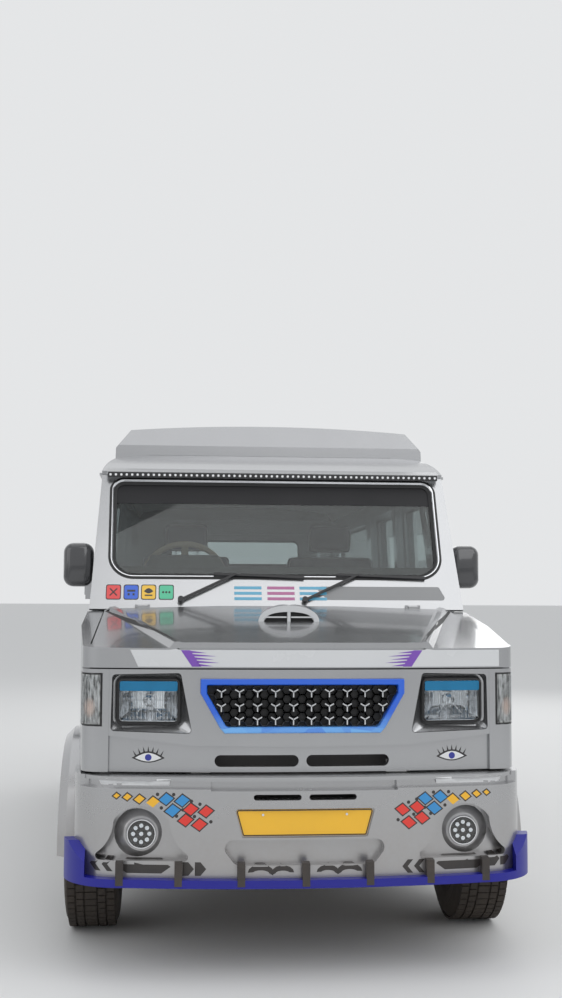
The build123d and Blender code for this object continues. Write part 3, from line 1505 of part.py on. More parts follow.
# Wipers: two arms and blades lying just above the screen
wiper_pivots = (-440, 120)
arm_reach = 250
with BuildPart() as wipers:
    for pivot_x in wiper_pivots:
        with BuildSketch(screen_plane) as boss:
            with Locations((pivot_x, -96)):
                Circle(13)
        add(extrude(boss.sketch, amount=26, mode=Mode.PRIVATE))
        with BuildSketch(screen_plane.offset(12)) as wiper_arm:
            with BuildLine():
                Polyline(
                    (pivot_x - 8, -96),
                    (pivot_x + 8, -100),
                    (pivot_x + arm_reach + 6, 30),
                    (pivot_x + arm_reach - 4, 36),
                    close=True,
                )
            make_face()
        add(extrude(wiper_arm.sketch, amount=9, mode=Mode.PRIVATE))
        with BuildSketch(screen_plane.offset(3)) as blade:
            with BuildLine():
                Polyline(
                    (pivot_x + 150, 40),
                    (pivot_x + 148, 28),
                    (pivot_x + 560, 12),
                    (pivot_x + 562, 24),
                    close=True,
                )
            make_face()
        add(extrude(blade.sketch, amount=14, mode=Mode.PRIVATE))
wipers.part.label = "wipers"
export_step(wipers.part, "parts/wipers.step")
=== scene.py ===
import bpy
import bmesh
import json
import math
from mathutils import Matrix, Vector
from mathutils.bvhtree import BVHTree
from mathutils.geometry import convex_hull_2d


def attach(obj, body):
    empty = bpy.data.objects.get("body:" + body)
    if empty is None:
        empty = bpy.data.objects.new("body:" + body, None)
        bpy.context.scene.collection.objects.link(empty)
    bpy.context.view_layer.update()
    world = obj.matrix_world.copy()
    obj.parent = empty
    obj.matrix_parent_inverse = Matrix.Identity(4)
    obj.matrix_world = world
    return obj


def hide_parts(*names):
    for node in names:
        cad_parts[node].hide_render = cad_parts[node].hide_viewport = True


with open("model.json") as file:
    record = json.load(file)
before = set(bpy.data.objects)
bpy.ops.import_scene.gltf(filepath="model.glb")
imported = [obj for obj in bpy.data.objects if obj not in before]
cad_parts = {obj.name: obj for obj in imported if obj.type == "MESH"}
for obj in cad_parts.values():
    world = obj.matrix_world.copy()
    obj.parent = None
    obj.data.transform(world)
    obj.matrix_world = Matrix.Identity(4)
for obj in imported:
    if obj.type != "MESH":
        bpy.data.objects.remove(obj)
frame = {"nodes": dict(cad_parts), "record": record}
nodes = frame["nodes"]
scene = bpy.context.scene
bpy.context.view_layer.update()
print("frame loaded:", len(nodes), "nodes")

# Camera: in front of the van, a little towards its right side
photoView = {"lens": 45.09, "place": (-0.486, -7.030, 1.337), "yaw": 5.02, "pitch": 4.64, "roll": 0.23}


def makeCamera(view):
    data = bpy.data.cameras.new("vanCamera")
    data.lens = view["lens"]
    data.sensor_width = 36.0
    camera = bpy.data.objects.new("vanCamera", data)
    scene.collection.objects.link(camera)
    yaw, pitch, roll = (math.radians(view[key]) for key in ("yaw", "pitch", "roll"))
    turn = Matrix.Rotation(-yaw, 4, "Z") @ Matrix.Rotation(math.pi / 2 + pitch, 4, "X")
    turn = turn @ Matrix.Rotation(roll, 4, "Z")
    camera.matrix_world = Matrix.Translation(view["place"]) @ turn
    scene.camera = camera
    scene.view_settings.view_transform = "Standard"


makeCamera(photoView)


# Node helpers
def setSocket(tree, socket, value):
    if isinstance(value, bpy.types.NodeSocket):
        tree.links.new(value, socket)
    else:
        socket.default_value = value


def addNode(tree, kind, sockets=None, **settings):
    node = tree.nodes.new(kind)
    for key, value in settings.items():
        setattr(node, key, value)
    for key, value in (sockets or {}).items():
        setSocket(tree, node.inputs[key], value)
    return node


def mixColour(tree, factor, first, second):
    node = addNode(tree, "ShaderNodeMix", data_type="RGBA")
    for index, value in ((0, factor), (6, first), (7, second)):
        setSocket(tree, node.inputs[index], value)
    return node.outputs[2]


def mathNode(tree, operation, *values, clamp=False):
    node = addNode(tree, "ShaderNodeMath", operation=operation, use_clamp=clamp)
    for index, value in enumerate(values):
        setSocket(tree, node.inputs[index], value)
    return node.outputs[0]


def rgba(colour):
    return (*colour[:3], 1.0)


def groupTree(name, sockets, outputs):
    tree = bpy.data.node_groups.new(name, "ShaderNodeTree")
    for label, value in sockets.items():
        kind = "NodeSocketColor" if isinstance(value, tuple) else "NodeSocketFloat"
        tree.interface.new_socket(label, in_out="INPUT", socket_type=kind).default_value = value
    for label, kind in outputs.items():
        tree.interface.new_socket(label, in_out="OUTPUT", socket_type="NodeSocket" + kind)
    given = tree.nodes.new("NodeGroupInput").outputs
    result = tree.nodes.new("NodeGroupOutput").inputs
    place = addNode(tree, "ShaderNodeTexCoord").outputs["Object"]
    return tree, given, result, place


def noise(tree, place, scale, detail):
    sockets = {"Vector": place, "Scale": scale, "Detail": detail}
    return addNode(tree, "ShaderNodeTexNoise", sockets).outputs["Fac"]


def axesOf(tree, place):
    return addNode(tree, "ShaderNodeSeparateXYZ", {0: place}).outputs


def combined(tree, sockets):
    return addNode(tree, "ShaderNodeCombineXYZ", sockets).outputs[0]


def addBump(tree, shader, strength, distance, height):
    bump = addNode(tree, "ShaderNodeBump", {"Strength": strength, "Distance": distance, "Height": height})
    tree.links.new(bump.outputs["Normal"], shader.inputs["Normal"])


def setValues(shader, values):
    for label, value in values.items():
        shader.inputs[label].default_value = value


# Shared effects, each one group used by many finishes
def roadDustGroup():
    # Dust that thins out with height and follows two noises
    sockets = {
        "Colour": (0.6, 0.6, 0.6, 1), "Dust colour": (0.30, 0.21, 0.14, 1), "Top height": 0.9, "Amount": 0.4,
    }
    tree, given, result, place = groupTree("roadDust", sockets, {"Colour": "Color", "Dust": "Float"})
    height = axesOf(tree, place)["Z"]
    low = mathNode(tree, "SUBTRACT", 1.0, mathNode(tree, "DIVIDE", height, given["Top height"]), clamp=True)
    broad = noise(tree, place, 3.0, 6.0)
    fine = noise(tree, place, 60.0, 3.0)
    spots = mathNode(tree, "MULTIPLY", broad, mathNode(tree, "ADD", fine, 0.5))
    dust = mathNode(tree, "MULTIPLY", mathNode(tree, "MULTIPLY", low, spots), given["Amount"])
    dust = mathNode(tree, "MULTIPLY", dust, 2.2, clamp=True)
    tree.links.new(mixColour(tree, dust, given["Colour"], given["Dust colour"]), result["Colour"])
    tree.links.new(dust, result["Dust"])
    return tree


def surfaceGrainGroup():
    # Fine bumps, and a roughness that changes from place to place
    sockets = {"Scale": 300.0, "Depth": 0.2, "Roughness": 0.5, "Spread": 0.1}
    outputs = {"Roughness": "Float", "Normal": "Vector"}
    tree, given, result, place = groupTree("surfaceGrain", sockets, outputs)
    grain = noise(tree, place, given["Scale"], 2.0)
    broad = noise(tree, place, 5.0, 4.0)
    change = mathNode(tree, "MULTIPLY", mathNode(tree, "SUBTRACT", broad, 0.5), given["Spread"])
    tree.links.new(mathNode(tree, "ADD", given["Roughness"], change), result["Roughness"])
    bump = addNode(tree, "ShaderNodeBump", {"Strength": given["Depth"], "Distance": 0.001, "Height": grain})
    tree.links.new(bump.outputs["Normal"], result["Normal"])
    return tree


def scuffsGroup():
    # Sparse pale marks that follow two noises
    sockets = {"Colour": (0.5, 0.5, 0.5, 1), "Worn colour": (0.7, 0.7, 0.7, 1), "Amount": 0.3}
    tree, given, result, place = groupTree("scuffs", sockets, {"Colour": "Color"})
    squeezed = addNode(tree, "ShaderNodeMapping", {"Vector": place, "Scale": (14.0, 14.0, 90.0)}).outputs[0]
    marks = mathNode(tree, "GREATER_THAN", noise(tree, squeezed, 1.0, 4.0), 0.68)
    patch = mathNode(tree, "GREATER_THAN", noise(tree, place, 4.0, 2.0), 0.52)
    mask = mathNode(tree, "MULTIPLY", mathNode(tree, "MULTIPLY", marks, patch), given["Amount"])
    tree.links.new(mixColour(tree, mask, given["Colour"], given["Worn colour"]), result["Colour"])
    return tree


def weaveGroup():
    # Plain weave of two crossed threads, in object coordinates
    sockets = {"Colour": (0.3, 0.3, 0.3, 1), "Thread colour": (0.4, 0.4, 0.4, 1), "Threads": 900.0}
    tree, given, result, place = groupTree("weave", sockets, {"Colour": "Color", "Height": "Float"})
    axes = axesOf(tree, place)
    across = mathNode(tree, "SINE", mathNode(tree, "MULTIPLY", axes["X"], given["Threads"]))
    upward = mathNode(tree, "ADD", axes["Y"], axes["Z"])
    along = mathNode(tree, "SINE", mathNode(tree, "MULTIPLY", upward, given["Threads"]))
    crossed = mathNode(tree, "MULTIPLY_ADD", mathNode(tree, "MULTIPLY", across, along), 0.5, 0.5)
    tree.links.new(mixColour(tree, crossed, given["Colour"], given["Thread colour"]), result["Colour"])
    tree.links.new(crossed, result["Height"])
    return tree


roadDust = roadDustGroup()
surfaceGrain = surfaceGrainGroup()
scuffs = scuffsGroup()
weave = weaveGroup()


def newMaterial(name):
    material = bpy.data.materials.new(name)
    material.use_nodes = True
    tree = material.node_tree
    return material, tree, tree.nodes["Principled BSDF"]


def objectPlace(tree):
    return addNode(tree, "ShaderNodeTexCoord").outputs["Object"]


def useGroup(tree, group, values):
    return addNode(tree, "ShaderNodeGroup", values, node_tree=group)


plainLook = {
    "metal": 0.0, "grain": 300.0, "depth": 0.15, "spread": 0.15, "dust": 0.3, "dustTop": 0.9,
    "coat": 0.0, "change": 0.12, "wear": 0.0, "worn": (0.5, 0.5, 0.5),
}


def plainFinish(name, colour, rough, **changes):
    # Painted, moulded or cast surface: broad colour change, scuffs, fine grain and road dust low down
    look = {**plainLook, **changes}
    material, tree, shader = newMaterial(name)
    cloud = noise(tree, objectPlace(tree), 7.0, 5.0)
    darker = rgba([channel * (1 - look["change"]) for channel in colour[:3]])
    lighter = rgba([min(1.0, channel * (1 + look["change"])) for channel in colour[:3]])
    base = mixColour(tree, cloud, darker, lighter)
    if look["wear"]:
        wearing = {"Colour": base, "Worn colour": rgba(look["worn"]), "Amount": look["wear"]}
        base = useGroup(tree, scuffs, wearing).outputs["Colour"]
    dusty = useGroup(tree, roadDust, {"Colour": base, "Amount": look["dust"], "Top height": look["dustTop"]})
    grains = {"Scale": look["grain"], "Depth": look["depth"], "Roughness": rough, "Spread": look["spread"]}
    grainNode = useGroup(tree, surfaceGrain, grains)
    tree.links.new(dusty.outputs["Colour"], shader.inputs["Base Color"])
    dull = mathNode(tree, "MULTIPLY", dusty.outputs["Dust"], 0.4)
    roughness = mathNode(tree, "ADD", grainNode.outputs["Roughness"], dull, clamp=True)
    tree.links.new(roughness, shader.inputs["Roughness"])
    tree.links.new(grainNode.outputs["Normal"], shader.inputs["Normal"])
    setValues(shader, {"Metallic": look["metal"], "Coat Weight": look["coat"], "Coat Roughness": 0.06})
    return material


def clothFinish(name, colour, thread, threads):
    # Woven cloth, worn in places to the colour of its lighter thread
    material, tree, shader = newMaterial(name)
    cloth = useGroup(tree, weave, {"Colour": rgba(colour), "Thread colour": rgba(thread), "Threads": threads})
    cloud = noise(tree, objectPlace(tree), 9.0, 5.0)
    worn = mixColour(tree, cloud, cloth.outputs["Colour"], rgba(thread))
    tree.links.new(worn, shader.inputs["Base Color"])
    addBump(tree, shader, 0.5, 0.001, cloth.outputs["Height"])
    setValues(shader, {"Roughness": 0.9, "Sheen Weight": 0.25})
    return material


vanPaint = plainFinish(
    "vanPaint", (0.42, 0.425, 0.435), 0.25, metal=0.85, grain=1400.0, depth=0.004, spread=0.04,
    dust=0.30, dustTop=0.75, coat=0.5, change=0.03, wear=0.03, worn=(0.40, 0.40, 0.40),
)
chassisPaint = plainFinish("chassisPaint", (0.03, 0.03, 0.032), 0.6, dust=0.7, dustTop=1.0, wear=0.2)
castMetal = plainFinish("castMetal", (0.16, 0.16, 0.165), 0.6, metal=0.7, grain=180.0, depth=0.5, dust=0.4)
exhaustSteel = plainFinish("exhaustSteel", (0.30, 0.25, 0.21), 0.5, metal=0.8, dust=0.6, wear=0.3)
blackPlastic = plainFinish("blackPlastic", (0.018, 0.018, 0.02), 0.45, grain=600.0, depth=0.3, dust=0.15)
blackRubber = plainFinish("blackRubber", (0.014, 0.014, 0.015), 0.55, grain=400.0, depth=0.2, dust=0.05)
blueGloss = plainFinish("blueGloss", (0.004, 0.006, 0.25), 0.40, dust=0.03, dustTop=0.5)
beigePlastic = plainFinish("beigePlastic", (0.42, 0.34, 0.24), 0.5, grain=500.0, dust=0.0)
dashPlastic = plainFinish("dashPlastic", (0.07, 0.068, 0.065), 0.6, grain=400.0, depth=0.4, dust=0.0)
greyTrim = plainFinish("greyTrim", (0.22, 0.22, 0.22), 0.7, grain=400.0, depth=0.3, dust=0.0)
floorMat = plainFinish("floorMat", (0.05, 0.05, 0.052), 0.8, grain=200.0, depth=0.6, dust=0.4, dustTop=1.6)
tyreRubber = plainFinish(
    "tyreRubber", (0.016, 0.016, 0.016), 0.78, grain=250.0, depth=0.4, dust=0.1, dustTop=0.7,
)
screenFilm = plainFinish("screenFilm", (0.006, 0.006, 0.008), 0.65, depth=0.02, dust=0.0)
wheelSteel = plainFinish("wheelSteel", (0.36, 0.365, 0.375), 0.42, metal=0.6, dust=0.25, wear=0.2)
redLens = plainFinish("redLens", (0.40, 0.008, 0.010), 0.15, dust=0.1, coat=0.8)
amberLens = plainFinish("amberLens", (0.75, 0.22, 0.01), 0.15, dust=0.1, coat=0.8)
brightMetal = plainFinish("brightMetal", (0.72, 0.73, 0.75), 0.16, metal=1.0, depth=0.03, dust=0.1)
lampMirror = plainFinish("lampMirror", (0.80, 0.81, 0.83), 0.12, metal=0.95, depth=0.03, dust=0.0)
darkShell = plainFinish("darkShell", (0.055, 0.056, 0.06), 0.16, metal=0.4, depth=0.03, dust=0.1, coat=0.9)
bandPaint = plainFinish("bandPaint", (0.62, 0.63, 0.64), 0.26, depth=0.03, dust=0.1, coat=0.6, change=0.03)
seatCloth = clothFinish("seatCloth", (0.13, 0.12, 0.14), (0.23, 0.21, 0.24), 2400.0)
seatPiping = clothFinish("seatPiping", (0.30, 0.28, 0.29), (0.36, 0.34, 0.35), 2400.0)
roofCloth = clothFinish("roofCloth", (0.36, 0.35, 0.34), (0.42, 0.41, 0.39), 3000.0)

# Cut vinyl in plain colours
vinylColours = {
    "black": (0.012, 0.012, 0.014), "white": (0.78, 0.79, 0.80), "purple": (0.19, 0.07, 0.42),
    "amber": (0.86, 0.46, 0.02), "azure": (0.02, 0.26, 0.60), "red": (0.74, 0.03, 0.02),
    "pictureRed": (0.72, 0.06, 0.06), "pictureBlue": (0.03, 0.12, 0.62), "pictureYellow": (0.85, 0.52, 0.05),
    "pictureGreen": (0.08, 0.52, 0.30), "stripeBlue": (0.10, 0.38, 0.56), "stripePink": (0.42, 0.12, 0.28),
    "panelGrey": (0.24, 0.245, 0.25), "plateYellow": (0.90, 0.50, 0.02), "deepBlue": (0.02, 0.03, 0.30),
}
vinyl = {
    name: plainFinish(name + "Vinyl", colour, 0.35, grain=700.0, depth=0.08, dust=0.1, coat=0.3, change=0.05)
    for name, colour in vinylColours.items()
}


def glassFinish(name, tint, clear, rough=0.02, ribs=0.0):
    # Clear or tinted glass with a thin uneven film, ribbed where ribs gives their scale
    material, tree, shader = newMaterial(name)
    place = objectPlace(tree)
    film = noise(tree, place, 2.5, 5.0)
    colour = mixColour(tree, film, rgba([channel * 0.92 for channel in tint]), rgba(tint))
    tree.links.new(colour, shader.inputs["Base Color"])
    tree.links.new(mathNode(tree, "MULTIPLY_ADD", film, 0.012, rough), shader.inputs["Roughness"])
    if ribs:
        wave = addNode(tree, "ShaderNodeTexWave", {"Vector": place, "Scale": ribs, "Distortion": 0.0})
        wave.bands_direction = "X"
        addBump(tree, shader, 0.4, 0.002, wave.outputs["Fac"])
    setValues(shader, {"Transmission Weight": clear, "IOR": 1.45})
    return material


windowGlass = glassFinish("windowGlass", (0.50, 0.56, 0.56), 1.0, 0.0)
lampGlass = glassFinish("lampGlass", (0.95, 0.97, 0.98), 1.0)
ribbedGlass = glassFinish("ribbedGlass", (0.90, 0.92, 0.94), 0.75, 0.06, 24.0)
browGlass = glassFinish("browGlass", (0.03, 0.32, 0.62), 0.5, 0.05)
mirrorGlass = plainFinish("mirrorGlass", (0.55, 0.57, 0.58), 0.03, metal=1.0, grain=100.0, depth=0, dust=0.0)


def frameTintFinish():
    # Azure paint whose low part carries lighter slanted facets
    material, tree, shader = newMaterial("frameTint")
    place = objectPlace(tree)
    slant = {"Vector": place, "Rotation": (0, 0.7, 0), "Scale": (9, 1, 22)}
    slanted = addNode(tree, "ShaderNodeMapping", slant).outputs[0]
    cells = addNode(tree, "ShaderNodeTexVoronoi", {"Vector": slanted, "Scale": 1.6}).outputs["Color"]
    share = axesOf(tree, cells)["X"]
    height = axesOf(tree, place)["Z"]
    low = mathNode(tree, "DIVIDE", mathNode(tree, "SUBTRACT", 0.93, height), 0.05, clamp=True)
    facets = mathNode(tree, "MULTIPLY", low, mathNode(tree, "MULTIPLY_ADD", share, 0.6, 0.35), clamp=True)
    dusty = useGroup(tree, roadDust, {
        "Colour": mixColour(tree, facets, rgba((0.010, 0.115, 0.66)), rgba((0.16, 0.46, 0.88))),
        "Amount": 0.1, "Top height": 1.2,
    })
    tree.links.new(dusty.outputs["Colour"], shader.inputs["Base Color"])
    setValues(shader, {"Roughness": 0.28, "Coat Weight": 0.7})
    return material


def cornerMirrorFinish():
    # Bright bowl streaked upright with painted reflections, dark and light, with a warm bulb low in the
    # middle
    bulbX, bulbZ, bulbHalf, bulbRise = 0.776, 0.945, 0.024, 0.040
    material, tree, shader = newMaterial("cornerMirror")
    place = objectPlace(tree)
    stretched = addNode(tree, "ShaderNodeMapping", {"Vector": place, "Scale": (130, 130, 30)}).outputs[0]
    # Painted reflections: streak lines from near black to near white stand in for what the chrome bowl
    # mirrors
    reflectionStreaks = mathNode(tree, "MULTIPLY_ADD", noise(tree, stretched, 1.0, 3.0), 3.4, -1.2, clamp=True)
    reflectedTone = mixColour(tree, reflectionStreaks, rgba((0.12, 0.12, 0.115)), rgba((0.88, 0.88, 0.87)))
    axes = axesOf(tree, place)
    outward = mathNode(tree, "SUBTRACT", mathNode(tree, "ABSOLUTE", axes["X"]), bulbX)
    across = mathNode(tree, "DIVIDE", outward, bulbHalf)
    upward = mathNode(tree, "DIVIDE", mathNode(tree, "SUBTRACT", axes["Z"], bulbZ), bulbRise)
    square = mathNode(tree, "ADD", mathNode(tree, "POWER", across, 2.0), mathNode(tree, "POWER", upward, 2.0))
    bulb = mathNode(tree, "SUBTRACT", 1.0, square, clamp=True)
    tree.links.new(mixColour(tree, bulb, reflectedTone, rgba((0.95, 0.74, 0.64))), shader.inputs["Base Color"])
    setValues(shader, {"Metallic": 0.6, "Roughness": 0.15})
    return material


cornerMirror = cornerMirrorFinish()
frameTint = frameTintFinish()
finishOf = {
    "body_paint": vanPaint, "chassis_paint": chassisPaint, "cast_metal": castMetal,
    "exhaust_steel": exhaustSteel, "black_plastic": blackPlastic, "blue_trim": blueGloss,
    "beige_plastic": beigePlastic, "dash_plastic": dashPlastic, "floor_mat": floorMat,
    "seat_fabric": seatCloth, "window_glass": windowGlass, "lamp_glass": lampGlass,
    "lamp_red": redLens, "tyre_rubber": tyreRubber, "wheel_steel": wheelSteel,
}
slotOf = {part["node"]: part["material_slot"] for part in frame["record"]["subparts"]}
for nodeName, cadPiece in nodes.items():
    cadPiece.data.materials.clear()
    cadPiece.data.materials.append(finishOf[slotOf[nodeName]])
print("finishes set")


# Mesh helpers
def finishMesh(mesh, name, smooth=35.0):
    # Mesh data with merged doubles, outward faces and edges sharp from an angle up
    mesh.verts.ensure_lookup_table()
    bmesh.ops.remove_doubles(mesh, verts=mesh.verts, dist=1e-6)
    bmesh.ops.recalc_face_normals(mesh, faces=mesh.faces)
    data = bpy.data.meshes.new(name)
    mesh.to_mesh(data)
    mesh.free()
    data.shade_smooth()
    data.set_sharp_from_angle(angle=math.radians(smooth))
    return data


def placePiece(name, data, body, finish, replaces=()):
    if not data.materials:
        data.materials.append(finish)
    piece = bpy.data.objects.new(name, data)
    scene.collection.objects.link(piece)
    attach(piece, body)
    if replaces:
        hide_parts(*replaces)
    return piece


def roundedPolygon(points, radius, steps=5):
    # Closed outline whose corners are arcs of one radius
    outline = []
    count = len(points)
    for index, point in enumerate(points):
        corner = Vector(point)
        before = (Vector(points[index - 1]) - corner).normalized()
        after = (Vector(points[(index + 1) % count]) - corner).normalized()
        half = before.angle(after) / 2
        reach = radius / math.tan(half)
        centre = corner + (before + after).normalized() * radius / math.sin(half)
        start, end = corner + before * reach - centre, corner + after * reach - centre
        first = math.atan2(start.y, start.x)
        sweep = (math.atan2(end.y, end.x) - first + math.pi) % (2 * math.pi) - math.pi
        for step in range(steps + 1):
            turn = first + sweep * step / steps
            outline.append((centre.x + radius * math.cos(turn), centre.y + radius * math.sin(turn)))
    return outline


def rectangle(middle, size, radius=0.0, steps=5):
    (u, v), (width, height) = middle, size
    corners = [
        (u - width / 2, v - height / 2), (u + width / 2, v - height / 2),
        (u + width / 2, v + height / 2), (u - width / 2, v + height / 2),
    ]
    return roundedPolygon(corners, radius, steps) if radius else corners


def circle(middle, radius, count=20, squash=1.0):
    u, v = middle
    turns = (2 * math.pi * index / count for index in range(count))
    return [(u + radius * math.cos(turn), v + radius * squash * math.sin(turn)) for turn in turns]


def diamond(middle, half, lean):
    # Lozenge whose left corner is up and whose right corner is down by the lean
    u, v = middle
    return [(u - half * 1.25, v + lean), (u, v - half), (u + half * 1.25, v - lean), (u, v + half)]


def grown(outline, amount):
    # Outline moved outwards by an amount, along the normals of its corners
    count = len(outline)
    pairs = ((outline[index - 1], outline[index]) for index in range(count))
    area = sum(before[0] * after[1] - after[0] * before[1] for before, after in pairs)
    sign = 1 if area > 0 else -1
    moved = []
    for index, point in enumerate(outline):
        before = Vector(point) - Vector(outline[index - 1])
        after = Vector(outline[(index + 1) % count]) - Vector(point)
        before = Vector((before.y, -before.x)).normalized() * sign
        after = Vector((after.y, -after.x)).normalized() * sign
        normal = (before + after).normalized() if (before + after).length > 1e-9 else after
        share = max(0.35, normal.dot(after)) if after.length > 1e-9 else 1.0
        moved.append(tuple(Vector(point) + normal * (amount / share)))
    return moved


def addLoft(mesh, loops, closed=False):
    # Skin through loops of equal length; the ends are capped, or joined to each other
    rings = [[mesh.verts.new(point) for point in loop] for loop in loops]
    pairs = list(zip(rings, rings[1:])) + ([(rings[-1], rings[0])] if closed else [])
    for first, second in pairs:
        for index in range(len(first)):
            after = (index + 1) % len(first)
            mesh.faces.new((first[index], first[after], second[after], second[index]))
    if not closed:
        for ring in (rings[0][::-1], rings[-1]):
            bmesh.ops.triangulate(mesh, faces=[mesh.faces.new(ring)])


def addPrism(mesh, outline, place, near, far, bevel=0.0):
    # Outline drawn from one depth to another, its near edge bevelled
    loops = []
    if bevel:
        loops.append([place(u, v, near) for u, v in grown(outline, -bevel)])
        near = near + math.copysign(bevel, far - near)
    loops.append([place(u, v, near) for u, v in outline])
    loops.append([place(u, v, far) for u, v in outline])
    addLoft(mesh, loops)


def addSweep(mesh, path, section, up, closed=True):
    # Section of (outwards, up) points carried along a path
    loops = []
    up = Vector(up)
    count = len(path)
    for index, point in enumerate(path):
        before = path[index - 1] if closed or index else path[index]
        after = path[(index + 1) % count] if closed or index < count - 1 else path[index]
        along = ((point - before).normalized() + (after - point).normalized()).normalized()
        outward = along.cross(up).normalized()
        lift = outward.cross(along).normalized()
        loops.append([point + outward * out + lift * rise for out, rise in section])
    addLoft(mesh, loops, closed)


def addLathe(mesh, profile, place, steps=24):
    # Profile of (radius, depth) turned about a line; place maps (u, v, depth)
    rings = []
    for index in range(steps):
        turn = 2 * math.pi * index / steps
        loop = [(radius * math.cos(turn), radius * math.sin(turn), depth) for radius, depth in profile]
        rings.append([mesh.verts.new(place(*point)) for point in loop])
    for index in range(steps):
        first, second = rings[index], rings[(index + 1) % steps]
        for step in range(len(profile) - 1):
            mesh.faces.new((first[step], first[step + 1], second[step + 1], second[step]))


def addBoxes(mesh, boxes, bevel):
    # Bevelled boxes, each given by two opposite corners
    for low, high in boxes:
        low, high = Vector(low), Vector(high)
        made = bmesh.ops.create_cube(mesh, size=1.0)
        for vertex in made["verts"]:
            share = vertex.co + Vector((0.5, 0.5, 0.5))
            vertex.co = low + share * (high - low)
        edges = list({edge for vertex in made["verts"] for edge in vertex.link_edges})
        bmesh.ops.bevel(mesh, geom=edges, offset=bevel, segments=2, affect="EDGES", profile=0.5)


def surfaceTree(*names):
    # Faces of CAD nodes that rays can meet
    points, faces = [], []
    for name in names:
        data = nodes[name].data
        start = len(points)
        points.extend(vertex.co.copy() for vertex in data.vertices)
        faces.extend([start + index for index in polygon.vertices] for polygon in data.polygons)
    return BVHTree.FromPolygons(points, faces)


castViews = {
    # name, start of the ray for a place (u, v), its direction
    "front": (lambda u, v: Vector((u, -5, v)), Vector((0, 1, 0))),
    "back": (lambda u, v: Vector((u, 5, v)), Vector((0, -1, 0))),
    "left": (lambda u, v: Vector((3, u, v)), Vector((-1, 0, 0))),
    "right": (lambda u, v: Vector((-3, u, v)), Vector((1, 0, 0))),
    "top": (lambda u, v: Vector((u, v, 5)), Vector((0, 0, -1))),
    "insideLeft": (lambda u, v: Vector((0.3, u, v)), Vector((1, 0, 0))),
    "insideRight": (lambda u, v: Vector((-0.3, u, v)), Vector((-1, 0, 0))),
    "insideTail": (lambda u, v: Vector((u, 1.9, v)), Vector((0, 1, 0))),
}


def addDrape(mesh, outlines, surface, view="front", step=0.03, lift=0.0006, sink=0.0003):
    # Thin closed skins laid on a surface that rays from one side meet
    start, direction = castViews[view]
    for outline in outlines:
        flat = bmesh.new()
        bmesh.ops.triangulate(flat, faces=[flat.faces.new([flat.verts.new((u, v, 0)) for u, v in outline])])
        for axis in (0, 1):
            low = min(point[axis] for point in outline)
            high = max(point[axis] for point in outline)
            normal = (1, 0, 0) if axis == 0 else (0, 1, 0)
            for line in range(1, max(1, math.ceil((high - low) / step))):
                cut = low + line * step
                place = (cut, 0, 0) if axis == 0 else (0, cut, 0)
                everything = flat.verts[:] + flat.edges[:] + flat.faces[:]
                bmesh.ops.bisect_plane(flat, geom=everything, plane_co=place, plane_no=normal)
        over, under = {}, {}
        for vertex in flat.verts:
            origin = start(vertex.co.x, vertex.co.y)
            hit = surface.ray_cast(origin, direction)[0]
            if hit is None:
                hit = surface.find_nearest(origin + direction * 2.5)[0]
            over[vertex] = mesh.verts.new(hit - direction * lift)
            under[vertex] = mesh.verts.new(hit + direction * sink)
        for face in flat.faces:
            corners = list(face.verts)
            mesh.faces.new([over[corner] for corner in corners])
            mesh.faces.new([under[corner] for corner in reversed(corners)])
        for edge in flat.edges:
            if len(edge.link_faces) == 1:
                first, second = edge.verts
                mesh.faces.new((over[first], over[second], under[second], under[first]))
        flat.free()


def drapePiece(name, outlines, surface, body, finish, slot="body_paint", **options):
    mesh = bmesh.new()
    addDrape(mesh, outlines, surface, **options)
    return placePiece(name, finishMesh(mesh, name), body, finish)


def connected(seed, left):
    # Vertices joined to the seed by edges, each taken out of those left
    group, waiting = [], [seed]
    left.discard(seed)
    while waiting:
        vertex = waiting.pop()
        group.append(vertex)
        for link in vertex.link_edges:
            other = link.other_vert(vertex)
            if other in left:
                left.discard(other)
                waiting.append(other)
    return group


def islands(name):
    # Separate solids of a CAD node, each a copy with its doubles merged
    whole = bmesh.new()
    whole.from_mesh(nodes[name].data)
    bmesh.ops.remove_doubles(whole, verts=whole.verts, dist=1e-6)
    whole.faces.index_update()
    left, solids = set(whole.verts), []
    for seed in whole.verts:
        if seed not in left:
            continue
        group = connected(seed, left)
        solid = bmesh.new()
        copies = {vertex: solid.verts.new(vertex.co) for vertex in group}
        faces = {face for vertex in group for face in vertex.link_faces}
        for face in sorted(faces, key=lambda item: item.index):
            solid.faces.new([copies[vertex] for vertex in face.verts])
        solids.append(solid)
    whole.free()
    return solids


def middleOf(mesh):
    return sum((vertex.co for vertex in mesh.verts), Vector()) / len(mesh.verts)


# Geometry Nodes: an instance on each point of the piece
def outwards(tree):
    # Turn that makes each instance face away from the local Z axis
    place = axesOf(tree, tree.nodes.new("GeometryNodeInputPosition").outputs[0])
    return combined(tree, {2: mathNode(tree, "ARCTAN2", place["Y"], place["X"])})


